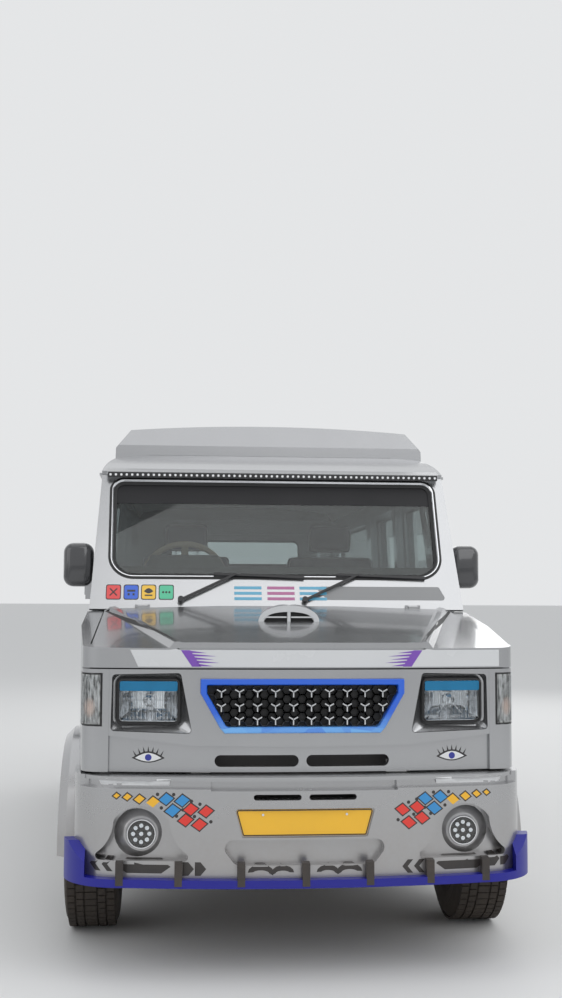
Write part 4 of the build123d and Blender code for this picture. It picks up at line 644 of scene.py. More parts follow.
def repeatTree(name, sizes, build, ring=False):
    tree = bpy.data.node_groups.new(name, "GeometryNodeTree")
    tree.interface.new_socket("Geometry", in_out="INPUT", socket_type="NodeSocketGeometry")
    for label, value in sizes.items():
        socket = tree.interface.new_socket(label, in_out="INPUT", socket_type="NodeSocketFloat")
        socket.default_value = value
    tree.interface.new_socket("Turn", in_out="INPUT", socket_type="NodeSocketVector")
    tree.interface.new_socket("Finish", in_out="INPUT", socket_type="NodeSocketMaterial")
    tree.interface.new_socket("Geometry", in_out="OUTPUT", socket_type="NodeSocketGeometry")
    given = tree.nodes.new("NodeGroupInput").outputs
    shape = build(tree, given)
    laid = addNode(tree, "GeometryNodeInstanceOnPoints", {
        "Points": given["Geometry"], "Instance": shape, "Rotation": outwards(tree) if ring else given["Turn"],
    })
    real = addNode(tree, "GeometryNodeRealizeInstances", {"Geometry": laid.outputs[0]})
    coloured = {"Geometry": real.outputs[0], "Material": given["Finish"]}
    done = addNode(tree, "GeometryNodeSetMaterial", coloured)
    result = tree.nodes.new("NodeGroupOutput")
    tree.links.new(done.outputs[0], result.inputs[0])
    return tree


def roundPin(tree, given):
    sizes = {"Vertices": 12, "Radius": given["Radius"], "Depth": given["Depth"]}
    return addNode(tree, "GeometryNodeMeshCylinder", sizes).outputs["Mesh"]


def nutShape(tree, given):
    nut = addNode(tree, "GeometryNodeMeshCone", {
        "Vertices": 6, "Radius Top": mathNode(tree, "MULTIPLY", given["Radius"], 0.82),
        "Radius Bottom": given["Radius"], "Depth": given["Depth"],
    })
    return nut.outputs["Mesh"]


def starShape(tree, given):
    # Three arms about the local Z axis
    joined = tree.nodes.new("GeometryNodeJoinGeometry")
    size = combined(tree, {0: given["Radius"], 1: given["Arm"], 2: given["Depth"]})
    arm = addNode(tree, "GeometryNodeMeshCube", {"Size": size}).outputs["Mesh"]
    shift = combined(tree, {0: mathNode(tree, "MULTIPLY", given["Radius"], 0.5)})
    moved = addNode(tree, "GeometryNodeTransform", {"Geometry": arm, "Translation": shift}).outputs[0]
    for angle in (30, 150, 270):
        turning = {"Geometry": moved, "Rotation": (0, 0, math.radians(angle))}
        turned = addNode(tree, "GeometryNodeTransform", turning)
        tree.links.new(turned.outputs[0], joined.inputs[0])
    return joined.outputs[0]


def cellShape(tree, given):
    # Six-sided ring: a short tube with walls
    ring = addNode(tree, "GeometryNodeMeshCircle", {"Vertices": 6, "Radius": given["Radius"]}).outputs["Mesh"]
    wire = addNode(tree, "GeometryNodeMeshToCurve", {"Mesh": ring}).outputs["Curve"]
    wall = {"Width": given["Arm"], "Height": given["Depth"]}
    bar = addNode(tree, "GeometryNodeCurvePrimitiveQuadrilateral", wall).outputs["Curve"]
    return addNode(tree, "GeometryNodeCurveToMesh", {"Curve": wire, "Profile Curve": bar}).outputs["Mesh"]


def blockShape(tree, given):
    size = combined(tree, {0: given["Height"], 1: given["Length"], 2: given["Width"]})
    return addNode(tree, "GeometryNodeMeshCube", {"Size": size}).outputs["Mesh"]


treeOf = {
    "pin": repeatTree("roundPins", {"Radius": 0.003, "Depth": 0.004}, roundPin),
    "nut": repeatTree("wheelNuts", {"Radius": 0.011, "Depth": 0.014}, nutShape),
    "star": repeatTree("grilleStars", {"Radius": 0.024, "Arm": 0.006, "Depth": 0.006}, starShape),
    "cell": repeatTree("grilleCells", {"Radius": 0.018, "Arm": 0.003, "Depth": 0.010}, cellShape),
    "block": repeatTree("treadBlocks", {"Height": 0.01, "Length": 0.03, "Width": 0.03}, blockShape, True),
}


def repeatMesh(name, kind, points, finish, turn=(0, 0, 0), **sizes):
    # Plain mesh of the instances that a tree lays on the points
    data = bpy.data.meshes.new(name + "Points")
    data.from_pydata([tuple(point) for point in points], [], [])
    holder = bpy.data.objects.new(name + "Points", data)
    scene.collection.objects.link(holder)
    modifier = holder.modifiers.new("repeat", "NODES")
    modifier.node_group = treeOf[kind]
    values = {**sizes, "Turn": turn, "Finish": finish}
    for item in modifier.node_group.interface.items_tree:
        if item.in_out == "INPUT" and item.name in values:
            modifier[item.identifier] = values[item.name]
    bpy.context.view_layer.update()
    drawn = holder.evaluated_get(bpy.context.evaluated_depsgraph_get())
    made = bpy.data.meshes.new_from_object(drawn)
    made.name = name
    holder.modifiers.clear()
    bpy.data.objects.remove(holder)
    return made


# Places on the van, in metres: a station is a distance behind the nose
noseY = -2.452
noseRadius = 4.7497
sides = ((1, "Left"), (-1, "Right"))
doorSides = ((1, "left"), (-1, "right"))


def at(station):
    return noseY + station / 1000


def noseFront(x):
    return noseY + noseRadius - math.sqrt(noseRadius ** 2 - x ** 2)


def nosePlace(side):
    # Places on the curved nose: u across, v up, depth backwards
    return lambda u, v, depth: Vector((side * u, noseFront(u) + depth, v))


def frontPlace(x, y, z, side=1):
    # Places about a point: u across, v up, depth backwards
    return lambda u, v, depth: Vector((side * (x + u), y + depth, z + v))


def sidePlace(x, y, z, side=1):
    # Places about a point: u backwards, v up, depth outwards
    return lambda u, v, depth: Vector((x + side * depth, y + u, z + v))


def sideBox(side, across, stations, heights):
    # Two opposite corners of a box on one side of the van
    low, high = sorted((side * across[0], side * across[1]))
    return (low, at(stations[0]), heights[0]), (high, at(stations[1]), heights[1])


def evenly(first, pitch, count):
    return [first + pitch * index for index in range(count)]


def ringPoints(radius, count, depth, start):
    # Points round the local Z axis, the first at the start angle
    turns = evenly(start, 2 * math.pi / count, count)
    return [(radius * math.cos(turn), radius * math.sin(turn), depth) for turn in turns]


def both(outlines):
    # Outlines and their mirror images
    return list(outlines) + [[(-u, v) for u, v in outline] for outline in outlines]


def grownRows(outline, steps):
    # Rows of (outline, depth) from steps of (growth, depth)
    return [(grown(outline, amount), depth) for amount, depth in steps]


# Pieces made of calls of the add functions
def shapePiece(name, body, finish, shapes, replaces=(), smooth=35.0):
    # Each shape is an add function and what it takes after the mesh
    mesh = bmesh.new()
    for add, *values in shapes:
        add(mesh, *values)
    return placePiece(name, finishMesh(mesh, name, smooth), body, finish, replaces)


def loftPiece(name, body, finish, place, rows, joined=True, replaces=(), smooth=35.0):
    # Skin through rows of (outline, depth)
    loops = [[place(u, v, depth) for u, v in outline] for outline, depth in rows]
    return shapePiece(name, body, finish, [(addLoft, loops, joined)], replaces, smooth)


def boxPiece(name, body, finish, boxes, bevel, replaces=()):
    return shapePiece(name, body, finish, [(addBoxes, boxes, bevel)], replaces, 30.0)


def repeatPiece(name, body, finish, slot, kind, points, replaces=(), **sizes):
    # Instances laid on the points and turned to look forwards
    data = repeatMesh(name, kind, points, finish, (math.pi / 2, 0, 0), **sizes)
    return placePiece(name, data, body, finish, replaces)


def markPiece(name, outlines, surface, tint, lift=0.0006):
    # Cut vinyl on a fixed panel
    return drapePiece(name, outlines, surface, "root", vinyl[tint], lift=lift)


def lampPiece(name, finish, shapes):
    return shapePiece(name, "root", finish, shapes, ("front_lamps",))


bonnetSkin = surfaceTree("bonnet")
bumperSkin = surfaceTree("front_bumper")
scuttleSkin = surfaceTree("windscreen_frame")
noseSkin = surfaceTree("nose_panel")

# Header strip of the bonnet: a pale band and five-fingered claw marks at its ends
header = {
    "low": 1.0945, "high": 1.156, "left": -0.600, "right": 0.745, "slant": 0.03, "inset": 0.001,
    "clawFoot": (-0.405, -0.372), "clawTop": (-0.446, -0.412), "fingers": (0.052, 0.082, 0.070, 0.088, 0.060),
    "fingerHalf": 0.36, "fingerShift": 0.004,
}


def clawOutlines(sizes):
    (footOut, footIn), (topOut, topIn) = sizes["clawFoot"], sizes["clawTop"]
    low, high = sizes["low"] + sizes["inset"], sizes["high"] - sizes["inset"]
    outlines = [[(footOut, low), (footIn, low), (topIn, high), (topOut, high)]]
    count = len(sizes["fingers"])
    for index, reach in enumerate(sizes["fingers"]):
        share = (index + 0.5) / count
        v = low + (high - low) * share
        u = footIn + (topIn - footIn) * share - sizes["fingerShift"]
        half = (high - low) / count * sizes["fingerHalf"]
        outlines.append([(u, v - half), (u + reach, v - sizes["fingerShift"]), (u, v + half)])
    return outlines


bandOutline = [
    (header["left"], header["low"]), (header["right"], header["low"]),
    (header["right"], header["high"]), (header["left"] - header["slant"], header["high"]),
]
drapePiece("headerBand", [bandOutline], bonnetSkin, "bonnet", bandPaint, step=0.02, lift=0.0010)
drapePiece("clawMarks", both(clawOutlines(header)), bonnetSkin, "bonnet", vinyl["purple"], lift=0.0015)

# Bumper: coloured lozenges with dark edges, and dots beside them
mosaic = {
    "tints": {
        "amber": ((0.669, 0.644, 0.009), (0.631, 0.640, 0.012), (0.588, 0.633, 0.015), (0.540, 0.623, 0.019)),
        "azure": ((0.493, 0.634, 0.0205), (0.436, 0.629, 0.0205), (0.470, 0.594, 0.0215)),
        "red": (
            (0.406, 0.599, 0.0205), (0.352, 0.592, 0.0200), (0.424, 0.561, 0.0205), (0.375, 0.546, 0.0205),
        ),
    },
    "dots": (
        (0.524, 0.650), (0.467, 0.650), (0.404, 0.627), (0.374, 0.617), (0.510, 0.603), (0.456, 0.575),
        (0.434, 0.597), (0.393, 0.574), (0.335, 0.556),
    ),
    "dotRadius": 0.0062, "edge": 0.0042, "lean": 0.14,
}
darkEdges = []
for tint, spots in mosaic["tints"].items():
    shapes = [diamond((u, v), half, half * mosaic["lean"]) for u, v, half in spots]
    darkEdges.extend(grown(shape, mosaic["edge"]) for shape in shapes)
    markPiece("lozenge_" + tint, both(shapes), bumperSkin, tint, 0.0012)
dotShapes = [circle(dot, mosaic["dotRadius"], 12) for dot in mosaic["dots"]]
markPiece("lozengeEdges", both(darkEdges), bumperSkin, "black", 0.0006)
markPiece("lozengeDots", both(dotShapes), bumperSkin, "black", 0.0008)


# Bumper's lower row: chevrons, blank labels and curled leaves, with pale tape above
def chevron(u, v, size, way):
    arm = size * 0.85 * way
    return [
        (u, v), (u + arm, v + size), (u + 2 * arm, v + size),
        (u + arm, v), (u + 2 * arm, v - size), (u + arm, v - size),
    ]


def label(u, v, length, height):
    # Strip with a point at each end
    tip = height * 0.7
    corners = ((-1, 0), (-1, -1), (1, -1), (1, 0), (1, 1), (-1, 1))
    return [(u + x * (length / 2 - tip * abs(y)), v + y * height / 2) for x, y in corners]


def leafCurl(u, v, size, way):
    # Generic curled leaf: a crescent with a tail
    points = []
    for reach, rise, drop, steps in ((1.0, 0.62, 0.0, range(9)), (0.66, 0.26, 0.004, range(7, 0, -1))):
        for step in steps:
            turn = math.radians(200 - 25 * step)
            points.append((u + way * size * reach * math.cos(turn), v - drop + size * rise * math.sin(turn)))
    return points


rowMarks = {
    "chevronHalf": 0.0235, "outer": (-0.762, -0.719), "outerHeight": 0.404, "inner": (-0.350, -0.393),
    "innerHeight": 0.392, "label": (0.569, 0.399, 0.188, 0.047),
    "leaves": ((0.158, 0.380, 0.046, 1), (0.080, 0.380, 0.040, -1)),
    "tape": ((0.483, 0.677), (0.727, 0.677), (0.737, 0.701), (0.478, 0.701)),
}
chevrons = [chevron(u, rowMarks["outerHeight"], rowMarks["chevronHalf"], 1) for u in rowMarks["outer"]]
chevrons += [chevron(u, rowMarks["innerHeight"], rowMarks["chevronHalf"], -1) for u in rowMarks["inner"]]
leaves = [leafCurl(*leaf) for leaf in rowMarks["leaves"]]
markPiece("chevrons", both(chevrons), bumperSkin, "black")
markPiece("blankLabels", both([label(*rowMarks["label"])]), bumperSkin, "black", 0.0005)
markPiece("curledLeaves", both(leaves), bumperSkin, "black")
markPiece("paleTape", both([rowMarks["tape"]]), bumperSkin, "white", 0.0005)
print("bumper marks set")

# Nose: generic almond ornaments where the nose is bare paint beside the slots
ornament = {
    "place": (-0.560, 0.765), "half": 0.060, "rise": 0.024, "inset": (0.012, 0.006), "disc": 0.012,
    "discRise": 0.002, "petals": 7, "petalHalf": 0.0035, "petalHeight": 0.019, "petalLean": 0.030,
    "petalSink": 0.001,
}


def almond(u, v, half, rise, count=12):
    # Pointed oval whose lower side is flatter
    shares = [step / count for step in range(count + 1)]
    steps = [(half * (2 * share - 1), rise * math.sin(math.pi * share)) for share in shares]
    return [(u + x, v + y) for x, y in steps] + [(u - x, v - 0.7 * y) for x, y in steps[1:-1]]


ornamentU, ornamentV = ornament["place"]
ornamentHalf, ornamentRise = ornament["half"], ornament["rise"]
petals = []
for index in range(ornament["petals"]):
    share = (index + 1) / (ornament["petals"] + 1)
    footU = ornamentU - ornamentHalf * (1 - 2 * share)
    footV = ornamentV + ornamentRise * math.sin(math.pi * share) - ornament["petalSink"]
    tip = (footU - (0.5 - share) * ornament["petalLean"], footV + ornament["petalHeight"])
    petals.append([(footU - ornament["petalHalf"], footV), (footU + ornament["petalHalf"], footV), tip])
field = almond(ornamentU, ornamentV, ornamentHalf - ornament["inset"][0], ornamentRise - ornament["inset"][1])
disc = circle((ornamentU, ornamentV + ornament["discRise"]), ornament["disc"])
almondMarks = (
    ("almondEdges", [almond(ornamentU, ornamentV, ornamentHalf, ornamentRise)], "black", 0.0005),
    ("almondPetals", petals, "black", 0.0005), ("almondFields", [field], "white", 0.0009),
    ("almondDiscs", [disc], "deepBlue", 0.0013),
)
for name, outlines, tint, lift in almondMarks:
    markPiece(name, both(outlines), noseSkin, tint, lift)

# Scuttle: four picture squares with plain signs, stripe blocks and a grey panel
scuttle = {
    "squares": (
        (-0.741, "pictureRed"), (-0.662, "pictureBlue"), (-0.584, "pictureYellow"), (-0.505, "pictureGreen"),
    ),
    "squareHeight": 1.372, "squareHalf": 0.030, "edge": 0.008, "signHalf": 0.016, "signThick": 0.002,
    "stripes": ((-0.137, "stripeBlue"), (0.013, "stripePink"), (0.160, "stripeBlue")), "stripeHalf": 0.062,
    "stripeHeight": 1.3935, "stripePitch": 0.0245, "stripeWidth": 0.013,
    "panel": ((0.225, 1.340), (0.772, 1.340), (0.742, 1.401), (0.166, 1.401)), "panelRadius": 0.012,
    # signs in the squares: small bars by place and size, an arch over a bar, three dots
    "bars": ((0, 0.006, (0.036, 0.009)), (-0.011, -0.010, (0.009, 0.010)), (0.011, -0.010, (0.009, 0.010))),
    "arch": (0.021, 0.014), "archRise": 0.004, "archBar": (0.034, 0.006), "archDrop": 0.014,
    "dotPitch": 0.014, "dotRadius": 0.005,
}
squareV, squareSize = scuttle["squareHeight"], 2 * scuttle["squareHalf"]
squareEdges = []
for u, tint in scuttle["squares"]:
    edgeSize = squareSize + scuttle["edge"]
    squareEdges.append(rectangle((u, squareV), (edgeSize, edgeSize), 0.010))
markPiece("squareEdges", squareEdges, scuttleSkin, "black", 0.0006)
for u, tint in scuttle["squares"]:
    field = rectangle((u, squareV), (squareSize, squareSize), 0.008)
    markPiece("square_" + tint, [field], scuttleSkin, tint, 0.0010)
crossU, barsU, archU, dotsU = (u for u, tint in scuttle["squares"])


def slantedBar(way):
    # One bar of a cross, rising towards +u or -u
    near, far = scuttle["signHalf"] - scuttle["signThick"], scuttle["signHalf"] + scuttle["signThick"]
    corners = ((-far, -near), (-near, -far), (far, near), (near, far))
    return [(crossU + way * u, squareV + v) for u, v in corners]


signs = [rectangle((barsU + u, squareV + v), size) for u, v, size in scuttle["bars"]]
signs.append(almond(archU, squareV + scuttle["archRise"], *scuttle["arch"]))
signs.append(rectangle((archU, squareV - scuttle["archDrop"]), scuttle["archBar"]))
dotPlaces = evenly(dotsU - scuttle["dotPitch"], scuttle["dotPitch"], 3)
signs += [circle((u, squareV), scuttle["dotRadius"], 12) for u in dotPlaces]
signs.append(slantedBar(1))
markPiece("squareMarksDark", signs, scuttleSkin, "black", 0.0014)
markPiece("squareMarksDarkOver", [slantedBar(-1)], scuttleSkin, "black", 0.0016)
for index, (u, tint) in enumerate(scuttle["stripes"]):
    heights = [scuttle["stripeHeight"] - scuttle["stripePitch"] * row for row in range(3)]
    rows = [rectangle((u, v), (2 * scuttle["stripeHalf"], scuttle["stripeWidth"])) for v in heights]
    markPiece("stripeBlock_" + str(index), rows, scuttleSkin, tint)
greyPanel = roundedPolygon(scuttle["panel"], scuttle["panelRadius"])
markPiece("greyPanel", [greyPanel], scuttleSkin, "panelGrey", 0.0005)
print("scuttle marks set")

# Headlamps: painted funnel, black gasket, lens with flutes, reflector, bulb and blue brow
headlamp = {
    "recess": ((0.4035, 0.8545), (0.4462, 1.0705), (0.6925, 1.0645), (0.6965, 0.8635)), "recessRadius": 0.013,
    "lens": ((0.455, 0.895), (0.455, 1.043), (0.668, 1.043), (0.668, 0.895)), "lensRadius": 0.014,
    "bulb": (0.561, 0.968), "spokeShift": 0.034, "spokeSize": (0.064, 0.004), "spokeDepths": (0.058, 0.062),
    "bulbProfile": (
        (0, 0.040), (0.007, 0.041), (0.011, 0.047), (0.011, 0.060), (0.020, 0.064), (0.022, 0.080),
        (0, 0.084),
    ),
    "flutes": 15, "fluteStart": 0.466, "fluteSpan": 0.191, "fluteHeights": (0.903, 0.940, 0.980, 1.034),
    "fluteDepth": 0.0188,
    "fluteSection": ((-0.0035, 0), (-0.002, 0.0016), (0.002, 0.0016), (0.0035, 0), (0, -0.001)),
    "brow": ((0.4565, 1.006), (0.4565, 1.0415), (0.6665, 1.0415), (0.6665, 1.006)), "browRadius": 0.006,
    "browShape": (0.0045, 0.0125, 0.0015),
}
recess = roundedPolygon(headlamp["recess"], headlamp["recessRadius"])
lens = roundedPolygon(headlamp["lens"], headlamp["lensRadius"])
brow = roundedPolygon(headlamp["brow"], headlamp["browRadius"])
funnelRows = grownRows(lens, ((0.022, 0.028), (0.013, 0.032), (0.012, 0.050)))
headlampParts = (
    # name, finish, joined end to end, rows of (outline, depth)
    ("headlampFunnel", vanPaint, True, [(recess, 0.0015), *funnelRows, (recess, 0.052)]),
    ("headlampGasket", blackRubber, True, grownRows(lens, (
        (0.0118, 0.046), (0.0118, 0.024), (0.007, 0.013), (0.001, 0.011), (-0.002, 0.016), (-0.002, 0.046),
    ))),
    ("headlampLens", lampGlass, False, grownRows(lens, (
        (0.0, 0.018), (0.0, 0.0125), (-0.006, 0.0095), (-0.022, 0.0075), (-0.045, 0.0065),
    ))),
    ("headlampBowl", lampMirror, False, grownRows(lens, (
        (-0.050, 0.084), (-0.024, 0.068), (-0.006, 0.040), (-0.001, 0.040), (-0.016, 0.074), (-0.046, 0.094),
    ))),
)


def bulbShapes(place):
    # Bulb with four slanted spokes
    middleU, middleV = headlamp["bulb"]
    bulbPlace = lambda u, v, depth: place(middleU + u, middleV + v, depth)
    shapes = [(addLathe, headlamp["bulbProfile"], bulbPlace)]
    for degrees in (45, 135, 225, 315):
        cosine, sine = math.cos(math.radians(degrees)), math.sin(math.radians(degrees))
        bar = [(u + headlamp["spokeShift"], v) for u, v in rectangle((0, 0), headlamp["spokeSize"])]
        bar = [(u * cosine - v * sine, u * sine + v * cosine) for u, v in bar]
        shapes.append((addPrism, bar, bulbPlace, *headlamp["spokeDepths"]))
    return shapes


def fluteShapes(place):
    shapes = []
    for index in range(headlamp["flutes"]):
        u = headlamp["fluteStart"] + headlamp["fluteSpan"] * index / (headlamp["flutes"] - 1)
        path = [place(u, v, headlamp["fluteDepth"]) for v in headlamp["fluteHeights"]]
        shapes.append((addSweep, path, headlamp["fluteSection"], (0, 1, 0), False))
    return shapes


for side, sideName in sides:
    place = nosePlace(side)
    for name, finish, joined, rows in headlampParts:
        loftPiece(name + sideName, "root", finish, place, rows, joined, ("front_lamps",))
    lampPiece("headlampBulb" + sideName, brightMetal, bulbShapes(place))
    lampPiece("headlampFlutes" + sideName, lampGlass, fluteShapes(place))
    lampPiece("headlampBrow" + sideName, browGlass, [(addPrism, brow, place, *headlamp["browShape"])])

# Corner lamps: a clear cover over a mirror body streaked with painted reflections
cornerLamp = {
    "inner": 0.7345, "outer": 0.806, "front": 72, "rear": 209, "low": 0.882, "high": 1.067,
    "solidFrom": (0.70, 0.80), "inset": 0.004, "gasketWidth": 0.005, "gasketLift": 0.0012,
    "ribWidth": 0.0034, "ribMargin": 0.016, "ribLift": 0.0014,
    # ribs: first place or station, pitch, count
    "frontRibs": (0.7445, 0.0085, 6), "sideRibs": (198, -10.5, 12),
}
for solid in islands("front_lamps"):
    middle = middleOf(solid)
    if abs(middle.x) < cornerLamp["solidFrom"][0] or middle.z < cornerLamp["solidFrom"][1]:
        solid.free()
        continue
    sideName = "Left" if middle.x > 0 else "Right"
    bmesh.ops.recalc_face_normals(solid, faces=solid.faces)
    inner = solid.copy()
    inner.normal_update()
    shifts = [(vertex, vertex.co - vertex.normal * cornerLamp["inset"]) for vertex in inner.verts]
    for vertex, moved in shifts:
        vertex.co = moved
    shells = (("cornerLampCover", solid, lampGlass), ("cornerLampBody", inner, cornerMirror))
    for name, mesh, finish in shells:
        data = finishMesh(mesh, name)
        placePiece(name + sideName, data, "root", finish, ("front_lamps",))

# Fog lamps: round hump, bright rim, dark face with a ring of diodes, clear cover
fogLamp = {
    "place": (0.580, 0.510), "steps": 32, "diodes": 8, "diodeRing": 0.0285, "diodeRadius": 0.0075,
    "diodeHeight": 0.005, "diodeDepth": -0.0345,
}
fogParts = (
    # name, finish, profile of (radius, depth)
    ("fogHump", vanPaint, (
        (0.0535, -0.030), (0.060, -0.031), (0.068, -0.024), (0.080, -0.010), (0.096, 0.004), (0.104, 0.024),
        (0.0535, 0.024), (0.0535, -0.030),
    )),
    ("fogRim", brightMetal, (
        (0.0465, -0.040), (0.0478, -0.0440), (0.0512, -0.0440), (0.0534, -0.039), (0.0534, -0.026),
        (0.0465, -0.026), (0.0465, -0.040),
    )),
    ("fogFace", blackPlastic, ((0, -0.033), (0.0464, -0.033), (0.0464, -0.026), (0, -0.026))),
    ("fogCover", lampGlass, (
        (0, -0.0425), (0.026, -0.0420), (0.0463, -0.0395), (0.0463, -0.0375), (0, -0.0395),
    )),
)
for side, sideName in sides:
    place = frontPlace(fogLamp["place"][0], noseY, fogLamp["place"][1], side)
    for name, finish, profile in fogParts:
        lampPiece(name + sideName, finish, [(addLathe, profile, place, fogLamp["steps"])])
    ring = circle((0, 0), fogLamp["diodeRing"], fogLamp["diodes"])
    spots = [place(u, v, fogLamp["diodeDepth"]) for u, v in ring + [(0, 0)]]
    repeatPiece("fogDiodes" + sideName, "root", lampMirror, "lamp_glass", "pin", spots, ("front_lamps",),
                Radius=fogLamp["diodeRadius"], Depth=fogLamp["diodeHeight"])
print("lamps set")

# Grille: azure frame, black honeycomb and rows of three-armed stars
grille = {
    "outer": ((0.3737, 1.0517), (0.3737, 1.000), (0.3027, 0.876), (0.285, 0.8563)), "outerRadius": 0.004,
    "inner": ((0.350, 1.030), (0.350, 1.000), (0.282, 0.884), (0.272, 0.878)), "innerRadius": 0.003,
    "low": 0.878, "middle": 1.000, "high": 1.030, "lowHalf": 0.276, "highHalf": 0.350, "firstRow": 0.880,
    "cell": 0.0185, "cellArm": 0.004, "cellThick": 0.016, "cellDepth": 0.034, "cellMargin": 0.008,
    "starRows": (1.003, 0.951, 0.903), "starPitch": 0.066, "starRadius": 0.0190, "starArm": 0.0045,
    "backDepths": (0.042, 0.048), "starThick": 0.009, "starDepth": 0.021, "starMargin": 0.017,
}
flatNose = frontPlace(0, noseY, 0)


def closedBothSides(points):
    return [(-u, v) for u, v in points] + [(u, v) for u, v in reversed(points)]


def insideGrille(u, v, margin):
    share = max(0.0, min(1.0, (v - grille["low"]) / (grille["middle"] - grille["low"])))
    half = grille["lowHalf"] + (grille["highHalf"] - grille["lowHalf"]) * share
    return grille["low"] + margin < v < grille["high"] - margin and abs(u) < half - margin


outer = roundedPolygon(closedBothSides(grille["outer"]), grille["outerRadius"], 2)
inner = roundedPolygon(closedBothSides(grille["inner"]), grille["innerRadius"], 2)
loftPiece("grilleFrame", "root", frameTint, flatNose, [
    (outer, 0.060), (outer, -0.004), (grown(outer, -0.003), -0.0078), (grown(inner, 0.003), -0.0078),
    (inner, -0.004), (inner, 0.060),
], True, ("grille",))
grilleBack = [(addPrism, grown(inner, 0.002), flatNose, *grille["backDepths"])]
shapePiece("grilleBack", "root", blackRubber, grilleBack, ("grille",))
cells = []
for column in range(-13, 14):
    for row in range(8):
        u = column * 1.5 * grille["cell"]
        v = grille["firstRow"] + math.sqrt(3) * grille["cell"] * (row + 0.5 * (column % 2))
        if insideGrille(u, v, grille["cellMargin"]):
            cells.append(flatNose(u, v, grille["cellDepth"]))
repeatPiece("grilleHoneycomb", "root", blackPlastic, "black_plastic", "cell", cells, ("grille",),
            Radius=grille["cell"], Arm=grille["cellArm"], Depth=grille["cellThick"])
stars = []
for v in grille["starRows"]:
    for index in range(-9, 10, 2):
        u = index * grille["starPitch"] / 2
        if insideGrille(u, v, grille["starMargin"]):
            stars.append(flatNose(u, v, grille["starDepth"]))
repeatPiece("grilleStars", "root", brightMetal, "blue_trim", "star", stars, ("grille",),
            Radius=grille["starRadius"], Arm=grille["starArm"], Depth=grille["starThick"])
print("grille set")

# Front plate: blank yellow sheet with a dark edge and two bolts
plate = {
    "outline": ((0.247, 0.5965), (0.221, 0.5035)), "radius": 0.009, "back": -0.0721, "thick": 0.004,
    "bevel": 0.0008, "edge": (-0.0015, -0.0050), "edgeDepths": (0.0003, -0.0008),
    "bolts": ((-0.15, 0.578), (0.15, 0.578)),
}


def edgeRows(outline, near, far, depths):
    # Flat ring between two growths of an outline
    steps = ((near, depths[0]), (near, depths[1]), (far, depths[1]), (far, depths[0]))
    return grownRows(outline, steps)


outline = roundedPolygon(closedBothSides(plate["outline"]), plate["radius"])
plateFront = plate["back"] - plate["thick"]
sheet = [(addPrism, outline, flatNose, plateFront, plate["back"], plate["bevel"])]
shapePiece("frontPlate", "root", vinyl["plateYellow"], sheet)
depths = [plateFront + depth for depth in plate["edgeDepths"]]
rows = edgeRows(outline, *plate["edge"], depths)
loftPiece("frontPlateEdge", "root", vinyl["black"], flatNose, rows)
bolts = [flatNose(u, v, plateFront - 0.001) for u, v in plate["bolts"]]
repeatPiece("plateBolts", "root", brightMetal, "body_paint", "pin", bolts, Radius=0.0045, Depth=0.003)

# Dark wedges over the fins of the lower lip
lipFins = {
    "places": (-0.655, -0.448, -0.228, 0.0, 0.228, 0.448, 0.655), "half": 0.0135, "low": 0.338,
    "top": 0.418, "topRise": 0.0015, "footRay": 0.350, "topRay": 0.400, "cover": 0.0015, "footDepth": 0.030,
    "topDepth": 0.034,
}
lipSkin = surfaceTree("bumper_lip")
forwards = Vector((0, 1, 0))
wedges = []
for u in lipFins["places"]:
    foot = lipSkin.ray_cast(Vector((u, -5, lipFins["footRay"])), forwards)[0].y
    top = lipSkin.ray_cast(Vector((u, -5, lipFins["topRay"])), forwards)[0].y
    profile = [
        (foot - lipFins["cover"], lipFins["low"]), (top - lipFins["cover"], lipFins["top"]),
        (top + lipFins["topDepth"], lipFins["top"] + lipFins["topRise"]),
        (foot + lipFins["footDepth"], lipFins["low"]),
    ]
    wedges.append((addPrism, profile, sidePlace(u, 0, 0), -lipFins["half"], lipFins["half"]))
shapePiece("lipWedges", "root", blackPlastic, wedges, (), 20.0)
print("plate and wedges set")


# Panes: rubber round every glass, with a bright bead in the windscreen's
def paneOutline(solid, origin, uAxis, vAxis, nAxis):
    points = [vertex.co - origin for vertex in solid.verts]
    flat = [(point.dot(uAxis), point.dot(vAxis)) for point in points]
    outline = [flat[index] for index in convex_hull_2d(flat)]
    pairs = zip(outline, outline[-1:] + outline[:-1])
    cleaned = [point for point, before in pairs if (Vector(point) - Vector(before)).length > 0.0008]
    return cleaned, max(point.dot(nAxis) for point in points)


def sealPiece(name, outline, origin, axes, outer, section, body, finish):
    uAxis, vAxis, nAxis = axes
    path = [origin + uAxis * u + vAxis * v + nAxis * outer for u, v in outline]
    centre = sum(path, Vector()) / len(path)
    along = (path[1] - path[0]).normalized()
    if along.cross(nAxis).dot(path[0] - centre) < 0:
        path.reverse()
    return shapePiece(name, body, finish, [(addSweep, path, section, nAxis)])


def sealSection(deep, inside, outside):
    return [
        (-inside, 0.0001), (-inside, 0.005), (-inside * 0.35, deep * 0.75), (0.0, deep + 0.003),
        (outside * 0.6, deep + 0.003), (outside, deep + 0.0008), (outside, deep - 0.0003),
        (0.0004, deep - 0.0003), (0.0002, 0.0001),
    ]


def sealGlass(name, solid, axes, section, body, origin=(0, 0, 0)):
    # Rubber round one pane, whose outline and outer face are returned
    outline, outer = paneOutline(solid, Vector(origin), *axes)
    sealPiece(name, outline, Vector(origin), axes, outer, section, body, blackRubber)
    solid.free()
    return outline, outer


